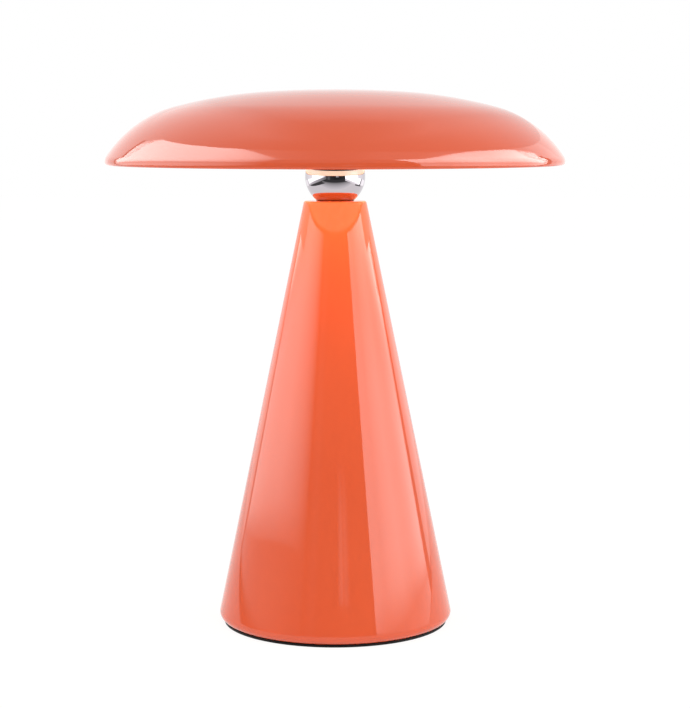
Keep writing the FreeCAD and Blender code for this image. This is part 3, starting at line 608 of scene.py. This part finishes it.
# %% The hub
HUB_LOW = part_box("ball_hub")[0][2] / MM
HUB_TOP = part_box("ball_hub")[1][2] / MM
FLANGE_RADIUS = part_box("ball_hub")[1][0] / MM
FLANGE_ROUND = 0.67
SKIRT_RADIUS = 23.0
DISH_RADIUS = 15.05
DISH_STEPS = 24
HUB_TURN_STEPS = 128
MOUTH_BREAK_DEGREES = 1.2
MOUTH_BREAK_WIDTH = 0.3
mouth_angle = math.degrees(math.acos((HUB_LOW - BALL_Z) / DISH_RADIUS))
dish = arc_points((0, BALL_Z), DISH_RADIUS, mouth_angle - MOUTH_BREAK_DEGREES, bore_angle, DISH_STEPS)
flange_centre = (FLANGE_RADIUS - FLANGE_ROUND, HUB_LOW + FLANGE_ROUND)
outline = [(BORE_RADIUS, HUB_TOP), (SKIRT_RADIUS, HUB_TOP), (SKIRT_RADIUS, DIFFUSER_LOW)]
outline += [(FLANGE_RADIUS, DIFFUSER_LOW)]
outline += arc_points(flange_centre, FLANGE_ROUND, 90, 180, EDGE_STEPS)
outline += [(dish[0][0] + MOUTH_BREAK_WIDTH, HUB_LOW)] + dish + [outline[0]]
hub = turn_outline("hub", outline, HUB_TURN_STEPS)
print("the dish's mouth is", round(mouth_angle, 1), "degrees from straight up")

# %% The hub's counterbores
HUB_SCREW_CIRCLE = 18.4
HUB_SCREW_ANGLES = (60, 180, 300)
HUB_HEAD_RADIUS = 2.8
HUB_HEAD_TALL = 1.8
HEAD_GAP = 0.1
DRILL_SIDES = 64
DRILL_START = 1.0


def round_place(radius, degrees):
    turn = math.radians(degrees)
    return radius * math.cos(turn), radius * math.sin(turn)


def drill(piece, x, y, low, high, radius):
    """Cuts an upright round hole. All sizes are in millimetres."""
    deselect()
    bpy.ops.mesh.primitive_cylinder_add(
        vertices=DRILL_SIDES,
        radius=radius * MM,
        depth=(high - low) * MM,
        location=(x * MM, y * MM, (low + high) / 2 * MM),
    )
    bpy.ops.object.transform_apply(location=True, rotation=True, scale=True)
    cut(piece, bpy.context.object)


counterbore_top = HUB_LOW + HUB_HEAD_TALL + HEAD_GAP
for angle in HUB_SCREW_ANGLES:
    x, y = round_place(HUB_SCREW_CIRCLE, angle)
    drill(hub, x, y, HUB_LOW - DRILL_START, counterbore_top, HUB_HEAD_RADIUS + HEAD_GAP)
settle(hub, abs_black, "head", "black_plastic", "ball_hub")

# %% [markdown]
# ## Screws
#
# Pan-head screws with a cross recess hold the hub and the base plate. One of each is turned on the axis,
# the cross is cut with two blocks, and copies go to their places, each turned a little, as screws stop
# where they stop. The recess's length and width are shares of the head's radius.

# %% Helpers for screws
HEAD_STEPS = 8
SCREW_TURN_STEPS = 48
TIP_BREAK = 0.3
RECESS_LENGTH = 1.1
RECESS_WIDTH = 0.24
RECESS_RISE = 0.1


def cross_screw(name, low, tall, head_radius, shank_radius, tip):
    """A pan-head screw on the lamp's axis, its head down."""
    ease = tall / 2
    outline = [(0, low)] + arc_points((head_radius - ease, low + ease), ease, 180, 90, HEAD_STEPS)
    outline += [(head_radius, low + tall), (shank_radius, low + tall)]
    outline += [(shank_radius, tip - TIP_BREAK), (shank_radius - TIP_BREAK, tip), (0, tip)]
    screw = turn_outline(name, outline, SCREW_TURN_STEPS)
    arm = (head_radius * RECESS_LENGTH, head_radius * RECESS_WIDTH, tall)
    for size in (arm, (arm[1], arm[0], arm[2])):
        cut(screw, block_at(size, (0, 0, low + RECESS_RISE * tall)))
    return screw


def place_copies(piece, circle, angles, turns):
    """Puts copies of a piece round the axis and joins them to one."""
    copies = []
    for angle, turn in zip(angles, turns):
        deselect()
        piece.select_set(True)
        bpy.context.view_layer.objects.active = piece
        bpy.ops.object.duplicate(linked=False)
        copy = bpy.context.object
        x, y = round_place(circle, angle)
        copy.rotation_euler = (0, 0, math.radians(turn))
        copy.location = (x * MM, y * MM, 0)
        bpy.ops.object.transform_apply(location=True, rotation=True, scale=True)
        copies.append(copy)
    name = piece.name
    bpy.data.objects.remove(piece)
    deselect()
    for copy in copies:
        copy.select_set(True)
    bpy.context.view_layer.objects.active = copies[0]
    bpy.ops.object.join()
    copies[0].name = name
    copies[0].data.name = name
    return copies[0]


# %% Hub screws
HUB_SHANK_RADIUS = 1.5
HUB_SCREW_TURNS = (12, 71, 38)
hub_low_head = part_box("hub_screws")[0][2] / MM
hub_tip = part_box("hub_screws")[1][2] / MM
screw = cross_screw(
    "hub_screw_set", hub_low_head, HUB_HEAD_TALL, HUB_HEAD_RADIUS, HUB_SHANK_RADIUS, hub_tip
)
hub_screw_set = place_copies(screw, HUB_SCREW_CIRCLE, HUB_SCREW_ANGLES, HUB_SCREW_TURNS)
settle(hub_screw_set, zinc, "head", "zinc_steel", "hub_screws")

# %% Base screws
BASE_HEAD_RADIUS = 3.8
BASE_HEAD_TALL = 2.2
BASE_SHANK_RADIUS = 2.0
BASE_SCREW_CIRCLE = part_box("base_screws")[1][1] / MM - BASE_HEAD_RADIUS
BASE_SCREW_ANGLES = (90, 210, 330)
BASE_SCREW_TURNS = (25, 64, 3)
base_low_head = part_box("base_screws")[0][2] / MM
base_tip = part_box("base_screws")[1][2] / MM
screw = cross_screw(
    "base_screw_set", base_low_head, BASE_HEAD_TALL, BASE_HEAD_RADIUS, BASE_SHANK_RADIUS, base_tip
)
base_screw_set = place_copies(screw, BASE_SCREW_CIRCLE, BASE_SCREW_ANGLES, BASE_SCREW_TURNS)
settle(base_screw_set, zinc, "base", "zinc_steel", "base_screws")

# %% [markdown]
# ## The charging port
#
# At the back is a charging receptacle of the kind that takes its plug either way up: a drawn steel shell,
# and in it a black tongue with twelve gilt contacts on each face. The shell is a pill with a smaller pill
# cut out. One contact is modelled, and two Array modifiers repeat it along the row and on the other face.

# %% The port's shell
SHELL_WIDE = 8.94
SHELL_TALL = 3.26
SHELL_DEEP = 7.35
SHELL_WALL = 0.3
CAVITY_DEEP = 6.2
shell = pill_at((SHELL_WIDE, SHELL_DEEP, SHELL_TALL), (0, PORT_Y - SHELL_DEEP / 2, PORT_Z))
shell.name = "port_shell"
cavity = (SHELL_WIDE - 2 * SHELL_WALL, CAVITY_DEEP * 2, SHELL_TALL - 2 * SHELL_WALL)
cut(shell, pill_at(cavity, (0, PORT_Y, PORT_Z)))
settle(shell, stainless, "base", "socket_steel", "usb_socket")

# %% The port's tongue
TONGUE = (6.69, 4.45, 0.7)
TONGUE_EDGE = 0.12
tongue_back = PORT_Y - CAVITY_DEEP
tongue = block_at(TONGUE, (0, tongue_back + TONGUE[1] / 2, PORT_Z))
tongue.name = "port_tongue"
bpy.ops.object.mode_set(mode="EDIT")
bpy.ops.mesh.select_all(action="SELECT")
bpy.ops.mesh.bevel(offset=TONGUE_EDGE * MM, segments=3, affect="EDGES")
bpy.ops.object.mode_set(mode="OBJECT")
bpy.ops.object.shade_smooth_by_angle(angle=SHARP_ANGLE)
settle(tongue, epoxy, "base", "chip_black")

# %% The port's contacts
CONTACT = (0.26, 3.0, 0.05)
CONTACT_PITCH = 0.5
CONTACT_COUNT = 12
CONTACT_INSET = 2.4
first_x = -CONTACT_PITCH * (CONTACT_COUNT - 1) / 2
contacts = block_at(CONTACT, (first_x, tongue_back + CONTACT_INSET, PORT_Z + TONGUE[2] / 2))
contacts.name = "port_contacts"
for count, step in ((CONTACT_COUNT, (CONTACT_PITCH, 0, 0)), (2, (0, 0, -TONGUE[2]))):
    array = contacts.modifiers.new("row", "ARRAY")
    array.count = count
    array.use_relative_offset = False
    array.use_constant_offset = True
    array.constant_offset_displace = [offset * MM for offset in step]
    bpy.ops.object.modifier_apply(modifier="row")
settle(contacts, gilt, "base", "nickel")

# %% [markdown]
# ## The studio
#
# The photo was taken in a white tent, open towards the camera. Two tall panels at the sides light it, and
# the gloss shows them as long bands on the cone and wedges on the shade. The world gives the even light,
# and is plain white where the camera and the gloss look at it. The floor is made the same way, and keeps a
# share of the lamp's shadow. The panels and the dark opening are cards that only reflections see, so they
# can stand close without burning out the colour.


# %% World
def plain_view(tree):
    """1 where the camera, the gloss or a clear piece looks at the tent, and 0 where the tent lights."""
    path = add_node(tree, "LightPath")
    seen = add_node(
        tree,
        "Math",
        {0: path.outputs["Is Camera Ray"], 1: path.outputs["Is Glossy Ray"]},
        operation="MAXIMUM",
    )
    plain = add_node(
        tree,
        "Math",
        {0: seen.outputs["Value"], 1: path.outputs["Is Transmission Ray"]},
        operation="MAXIMUM",
    )
    return plain.outputs["Value"]


FILL_LEVEL = 0.725
scene = bpy.context.scene
scene.view_settings.view_transform = "Standard"
world = bpy.data.worlds.new("white_tent")
world.use_nodes = True
scene.world = world
tree = world.node_tree
tree.nodes.clear()
light = add_node(tree, "Background", {"Color": colour("#ffffff"), "Strength": FILL_LEVEL})
white = add_node(tree, "Background", {"Color": colour("#ffffff"), "Strength": 1.0})
mixed = add_node(tree, "MixShader", {0: plain_view(tree), 1: light.outputs[0], 2: white.outputs[0]})
add_node(tree, "OutputWorld", {"Surface": mixed.outputs[0]})
print("world is up")

# %% Floor
FLOOR_SIZE = 12.0
FLOOR_GLOW = 1.05
SHADOW_KEPT = 0.12
deselect()
bpy.ops.mesh.primitive_plane_add(size=FLOOR_SIZE)
floor = bpy.context.object
floor.name = "floor"
sweep = bpy.data.materials.new("white_floor")
sweep.use_nodes = True
tree = sweep.node_tree
tree.nodes.clear()
lifted = add_node(tree, "Math", {0: plain_view(tree), 1: 1 - SHADOW_KEPT}, operation="MULTIPLY")
paper = add_node(tree, "BsdfDiffuse", {"Color": colour("#f4f4f4")})
glow = add_node(tree, "Emission", {"Color": colour("#ffffff"), "Strength": FLOOR_GLOW})
mixed = add_node(
    tree, "MixShader", {0: lifted.outputs["Value"], 1: paper.outputs[0], 2: glow.outputs[0]}
)
add_node(tree, "OutputMaterial", {"Surface": mixed.outputs[0]})
dress(floor, sweep)
print("floor is up")

# %% [markdown]
# The panels stand on both sides, brightest in the middle and further up. Their place is read from the bands
# on the cone and the wedges on the shade. Behind the camera the tent is open and dark, and its roof is
# dimmer than its walls. Each card carries its brightness as one ramp along it and one up it.


# %% Cards for the gloss
def glow_to_gloss(made, place, along, up, blend):
    """Makes a stage piece glow to the gloss alone. along and up are lists of a share and its level."""
    along_top, up_top = (max(level for _, level in levels) for levels in (along, up))
    strength = along_top * up_top
    if blend == "MAXIMUM":
        strength = along_top = up_top = max(along_top, up_top)
    material = bpy.data.materials.new(made.name)
    material.use_nodes = True
    tree = material.node_tree
    tree.nodes.clear()
    shares = add_node(tree, "SeparateXYZ", {"Vector": add_node(tree, "TexCoord").outputs[place]})
    ramps = []
    for axis, levels, top in (("X", along, along_top), ("Y", up, up_top)):
        ramp = add_node(tree, "ValToRGB", {"Fac": shares.outputs[axis]})
        while len(ramp.color_ramp.elements) < len(levels):
            ramp.color_ramp.elements.new(1.0)
        for element, (position, level) in zip(ramp.color_ramp.elements, levels):
            element.position = position
            element.color = (level / top, level / top, level / top, 1.0)
        ramps.append(ramp.outputs["Color"])
    both = add_node(tree, "VectorMath", {0: ramps[0], 1: ramps[1]}, operation=blend)
    shine = add_node(tree, "Emission", {"Color": both.outputs["Vector"], "Strength": strength})
    add_node(tree, "OutputMaterial", {"Surface": shine.outputs[0]})
    dress(made, material)
    made.visible_camera = False
    made.visible_diffuse = False
    made.visible_shadow = False
    made.visible_transmission = False


CARD_CUTS = 15
EVEN = [(0.0, 1.0), (1.0, 1.0)]


def card(name, corners, along, up=EVEN, blend="MULTIPLY"):
    """A flat card that only gloss sees. blend says how the levels along it and up it are joined."""
    deselect()
    bpy.ops.mesh.primitive_plane_add(size=1)
    made = bpy.context.object
    made.name = name
    bpy.ops.object.mode_set(mode="EDIT")
    bpy.ops.mesh.select_all(action="SELECT")
    bpy.ops.mesh.subdivide(number_cuts=CARD_CUTS)
    bpy.ops.object.mode_set(mode="OBJECT")
    low_start, low_end, high_start, high_end = (Vector(corner) for corner in corners)
    for vertex in made.data.vertices:
        share = vertex.co.x + 0.5
        rise = vertex.co.y + 0.5
        low = low_start.lerp(low_end, share)
        vertex.co = low.lerp(high_start.lerp(high_end, share), rise)
    glow_to_gloss(made, "UV", along, up, blend)


# %% [markdown]
# Each side has six cards: the panel itself, its dark back edge, a dim skirt below it, a halo of scattered
# light above it, the tent's wall behind it, and a dark gap on the table where the tent's floor ends.


# %% Left side
def at_height(corner, z):
    """The corner, moved straight up or down to the height z."""
    return (*corner[:2], z)


SIDE_X = 0.6
EDGE_GAP = 0.002
EDGE_X = SIDE_X - EDGE_GAP
ROOF_Z = 2.0
BACK_Y = 3.0
GAP_Z = 0.002
PANEL_FOOT = [(0.0, 0.35), (0.03, 0.85), (0.06, 1.0)]
GAP_LEVEL = [(0.0, 0.08), (1.0, 0.08)]
front_low, back_low = (-SIDE_X, -0.9, 0.221), (-SIDE_X, 0.42, 0.0235)
front_high, back_high = (-SIDE_X, -0.9, 1.95), (-SIDE_X, 0.6, 0.7)
card(
    "left_panel",
    [front_low, back_low, front_high, back_high],
    [(0.0, 0.3), (0.09, 0.9), (0.23, 2.0), (0.4, 3.1), (0.55, 3.8), (0.66, 3.6)]
    + [(0.78, 3.1), (0.92, 2.4), (1.0, 2.2)],
    PANEL_FOOT
    + [(0.19, 1.0), (0.25, 0.8), (0.28, 0.9), (0.34, 1.8), (0.45, 2.1)]
    + [(0.88, 2.0), (0.97, 1.8), (1.0, 1.3)],
)
card(
    "left_skirt",
    [at_height(front_low, 0.0), at_height(back_low, 0.0), front_low, back_low],
    [(0.0, 0.25), (0.14, 0.28), (0.29, 0.4), (0.42, 0.55), (0.55, 0.66), (0.68, 0.76), (1.0, 1.0)],
    [(0.0, 0.15), (0.2, 0.15), (0.4, 1.0), (1.0, 1.0)],
)
card(
    "left_halo",
    [front_high, back_high, at_height(front_high, ROOF_Z), at_height(back_high, ROOF_Z)],
    EVEN,
    [(0.0, 1.5), (0.4, 1.2), (1.0, 1.0)],
)
WALL_RISE = [(0.0, 0.95), (0.08, 0.95), (0.12, 0.8), (0.22, 1.0), (0.5, 0.95), (1.0, 0.75)]
card(
    "left_wall",
    [
        at_height(back_low, 0.0),
        (-SIDE_X, BACK_Y, 0.0),
        at_height(back_high, ROOF_Z),
        (-SIDE_X, BACK_Y, ROOF_Z),
    ],
    [(0.0, 1.45), (0.2, 1.45), (0.4, 1.1), (0.7, 0.9), (1.0, 0.85)],
    WALL_RISE,
)
card(
    "left_edge",
    [(-EDGE_X, 0.42, 0.0), (-EDGE_X, 0.49, 0.0), (-EDGE_X, 0.6, 0.71), (-EDGE_X, 0.64, 0.71)],
    [(0.0, 0.5), (1.0, 0.5)],
)
card(
    "left_gap",
    [(-0.34, -0.43, GAP_Z), (-0.56, 0.3, GAP_Z), (-SIDE_X, -0.43, GAP_Z), (-SIDE_X, 0.3, GAP_Z)],
    GAP_LEVEL,
)
print("left side is up")

# %% Right side
front_low, back_low = (SIDE_X, -0.73, 0.101), (SIDE_X, 0.25, 0.017)
front_high, back_high = (SIDE_X, -0.82, 1.5), (SIDE_X, 0.46, 0.6)
card(
    "right_panel",
    [front_low, back_low, front_high, back_high],
    [(0.0, 3.5), (0.12, 3.7), (0.26, 3.5), (0.42, 4.3), (0.55, 4.6), (0.65, 4.0), (0.72, 3.7)]
    + [(0.82, 3.8), (0.91, 4.0), (1.0, 3.7)],
    PANEL_FOOT
    + [(0.19, 1.0), (0.26, 0.85), (0.31, 0.9), (0.38, 1.5), (0.46, 1.85)]
    + [(0.85, 1.9), (0.96, 1.6), (1.0, 1.2)],
)
card(
    "right_skirt",
    [at_height(front_low, 0.0), at_height(back_low, 0.0), front_low, back_low],
    [(0.0, 1.3), (0.4, 1.2), (0.75, 1.5), (1.0, 2.0)],
)
card(
    "right_halo",
    [front_high, back_high, at_height(front_high, ROOF_Z), at_height(back_high, ROOF_Z)],
    EVEN,
    [(0.0, 1.5), (0.2, 1.0), (1.0, 0.9)],
)
card(
    "right_wall",
    [
        at_height(back_low, 0.0),
        (SIDE_X, BACK_Y, 0.0),
        at_height(back_high, ROOF_Z),
        (SIDE_X, BACK_Y, ROOF_Z),
    ],
    [(0.0, 1.7), (0.2, 1.65), (0.4, 1.2), (0.7, 0.95), (1.0, 0.9)],
    WALL_RISE,
)
card(
    "right_edge",
    [(EDGE_X, 0.25, 0.0), (EDGE_X, 0.36, 0.0), (EDGE_X, 0.46, 0.56), (EDGE_X, 0.51, 0.56)],
    [(0.0, 0.4), (1.0, 0.4)],
)
card(
    "right_gap",
    [(0.5, 0.0, GAP_Z), (0.54, 0.42, GAP_Z), (SIDE_X, 0.0, GAP_Z), (SIDE_X, 0.42, GAP_Z)],
    GAP_LEVEL,
)
print("right side is up")

# %% [markdown]
# In front the tent is open. Its dark shape, with one paler stand in it, shows in the middle of the ball and
# of the cone. The table fades towards it, and the wall above it and the roof are dim.


# %% Front and roof
def centred(half_width, low, high):
    """Corners of a card centred on the lamp. low and high are the (y, z) of its lower and upper edge."""
    return [(-half_width, *low), (half_width, *low), (-half_width, *high), (half_width, *high)]


OPENING_Y = -1.1
OPENING_X = 0.95
OPENING_TOP = 0.68
TABLE_FRONT_Y = -0.2
TABLE_CARD_Z = 0.001
WALL_X = 1.5
card(
    "dark_opening",
    centred(OPENING_X, (OPENING_Y, 0.0), (OPENING_Y, OPENING_TOP)),
    [(0.0, 0.07), (0.13, 0.06), (0.25, 0.2), (0.32, 0.05), (0.5, 0.03), (0.71, 0.035), (1.0, 0.06)],
)
card(
    "table_front",
    centred(OPENING_X, (OPENING_Y, TABLE_CARD_Z), (TABLE_FRONT_Y, TABLE_CARD_Z)),
    EVEN,
    [(0.0, 0.06), (0.57, 0.06), (0.63, 0.25), (0.74, 0.45), (0.87, 0.7), (1.0, 1.0)],
)
card(
    "front_wall",
    centred(WALL_X, (OPENING_Y, OPENING_TOP), (OPENING_Y, ROOF_Z)),
    [(0.0, 0.5), (1.0, 0.5)],
)
card(
    "roof",
    centred(WALL_X, (OPENING_Y, ROOF_Z), (-OPENING_Y, ROOF_Z)),
    [(0.0, 1.0), (0.3, 1.0), (0.42, 0.66), (0.5, 0.56), (0.58, 0.66), (0.7, 1.0), (1.0, 1.0)],
    [(0.0, 0.56), (0.7, 0.56), (1.0, 1.0)],
    "MAXIMUM",
)
STAND_Y = OPENING_Y + 0.01
card(
    "pale_stand",
    [(0.06, STAND_Y, 0.195), (0.3, STAND_Y, 0.195), (0.06, STAND_Y, 0.34), (0.3, STAND_Y, 0.34)],
    [(0.0, 0.3), (0.3, 1.1), (0.45, 0.4), (0.6, 0.8), (1.0, 0.1)],
    [(0.0, 1.0), (0.6, 0.9), (1.0, 0.2)],
)
print("front and roof are up")

# %% [markdown]
# The flat crown takes its gloss at a low angle, where a lacquer mirrors strongly. From the sides and the
# back it would show the panels as burnt-out white. So a hood hangs close over the shade, pale at the sides
# and the back and dimmer in front, like the tent. Its lower edge drops to the right, where the panel shows
# less high. A curtain goes on below it round the back half. The panels show only on the front half's steep
# shoulder.

# %% Helper for the hood and the curtain
HOOD_SIDES = 128


def open_cylinder(name, radius, low, high, keep):
    """A cylinder round the lamp's axis that keeps only the faces for which keep(face) is true."""
    deselect()
    bpy.ops.mesh.primitive_cylinder_add(
        vertices=HOOD_SIDES, radius=radius, depth=high - low, location=(0, 0, (low + high) / 2)
    )
    made = bpy.context.object
    made.name = name
    bpy.ops.object.mode_set(mode="EDIT")
    bpy.ops.mesh.select_mode(type="FACE")
    bpy.ops.mesh.select_all(action="DESELECT")
    bpy.ops.object.mode_set(mode="OBJECT")
    for face in made.data.polygons:
        face.select = not keep(face)
    bpy.ops.object.mode_set(mode="EDIT")
    bpy.ops.mesh.delete(type="FACE")
    bpy.ops.object.mode_set(mode="OBJECT")
    return made


# %% Hood
HOOD_RADIUS = 0.12
HOOD_LOW = 0.272
HOOD_HIGH = 0.45
HOOD_SLANT = -0.09


def not_underside(face):
    return face.normal.z > -0.5


hood = open_cylinder("hood", HOOD_RADIUS, HOOD_LOW, HOOD_HIGH, not_underside)
for vertex in hood.data.vertices:
    if vertex.co.z < 0:
        vertex.co.z += HOOD_SLANT * vertex.co.x
glow_to_gloss(
    hood,
    "Generated",
    [(0.0, 1.4), (0.08, 1.3), (0.25, 0.85), (0.38, 0.58), (0.5, 0.48)]
    + [(0.62, 0.58), (0.75, 0.68), (0.92, 0.9), (1.0, 1.1)],
    [(0.0, 0.5), (0.27, 0.56), (0.43, 0.62), (0.6, 0.93), (0.83, 1.0), (1.0, 1.0)],
    "MAXIMUM",
)
print("hood is up")

# %% Curtain
CURTAIN_RADIUS = 0.13
CURTAIN_LOW = 0.212
CURTAIN_HIGH = 0.34
CURTAIN_FROM_Y = 0.008


def back_wall(face):
    return abs(face.normal.z) < 0.5 and face.center.y > CURTAIN_FROM_Y


curtain = open_cylinder("curtain", CURTAIN_RADIUS, CURTAIN_LOW, CURTAIN_HIGH, back_wall)
glow_to_gloss(
    curtain,
    "Generated",
    [(0.0, 1.4), (0.15, 1.05), (0.5, 0.95), (0.85, 1.05), (1.0, 1.4)],
    EVEN,
    "MULTIPLY",
)
print("curtain is up")

# %% [markdown]
# The panels also light the sides a little more than the front. Two large soft lamps do that, hidden from
# the gloss. A third, a warm disc under the opal ring, adds the light that the ring throws down: it is a
# child of the ring, so it leans with the shade.


# %% Lamps
def soft_lamp(name, place, target, size, shape, watts, tint):
    """A soft area lamp that looks at a target. Neither the camera nor the gloss sees it."""
    aim = (Vector(target) - Vector(place)).to_track_quat("-Z", "Y").to_euler()
    bpy.ops.object.light_add(type="AREA", location=place, rotation=aim)
    lamp = bpy.context.object
    lamp.name = name
    lamp.data.shape = shape
    lamp.data.size = size
    lamp.data.energy = watts
    lamp.data.color = colour(tint)[:3]
    lamp.visible_camera = False
    lamp.visible_glossy = False
    lamp.visible_transmission = False
    return lamp


LAMP_SIZE = 1.1
LEFT_LAMP = (-0.85, -0.35, 0.7)
RIGHT_LAMP = (0.85, -0.35, 0.7)
LEFT_WATTS = 2.9
RIGHT_WATTS = 4.5
RING_WATTS = 0.19
RING_SHARE = 0.7
RING_GAP = 0.4
rim_middle = (0, 0, RIM_Z * MM)
soft_lamp("left_soft", LEFT_LAMP, rim_middle, LAMP_SIZE, "SQUARE", LEFT_WATTS, "#ffeccb")
soft_lamp("right_soft", RIGHT_LAMP, rim_middle, LAMP_SIZE, "SQUARE", RIGHT_WATTS, "#ffeab6")
ring_light = soft_lamp(
    "ring_light",
    (0, 0, (DIFFUSER_LOW - RING_GAP) * MM),
    (0, 0, 0),
    2 * RING_SHARE * DIFFUSER_OUTER * MM,
    "DISK",
    RING_WATTS,
    "#ffc23a",
)
ring_light.parent = diffuser
print("lamps are up")

# %% [markdown]
# ## The camera
#
# The place and the lens come from the photo: the foot, the sides, the ball and the rim fix them together.

# %% Camera
CAMERA_PLACE = (4.9, -971.8, 248.9)
TILT_DEGREES = 83.376
LENS_MM = 98.906
SENSOR_MM = 36.0
bpy.ops.object.camera_add(
    location=[place * MM for place in CAMERA_PLACE],
    rotation=(math.radians(TILT_DEGREES), 0, 0),
)
camera = bpy.context.object
camera.data.lens = LENS_MM
camera.data.sensor_width = SENSOR_MM
scene.camera = camera
print("camera stands at", CAMERA_PLACE, "mm")
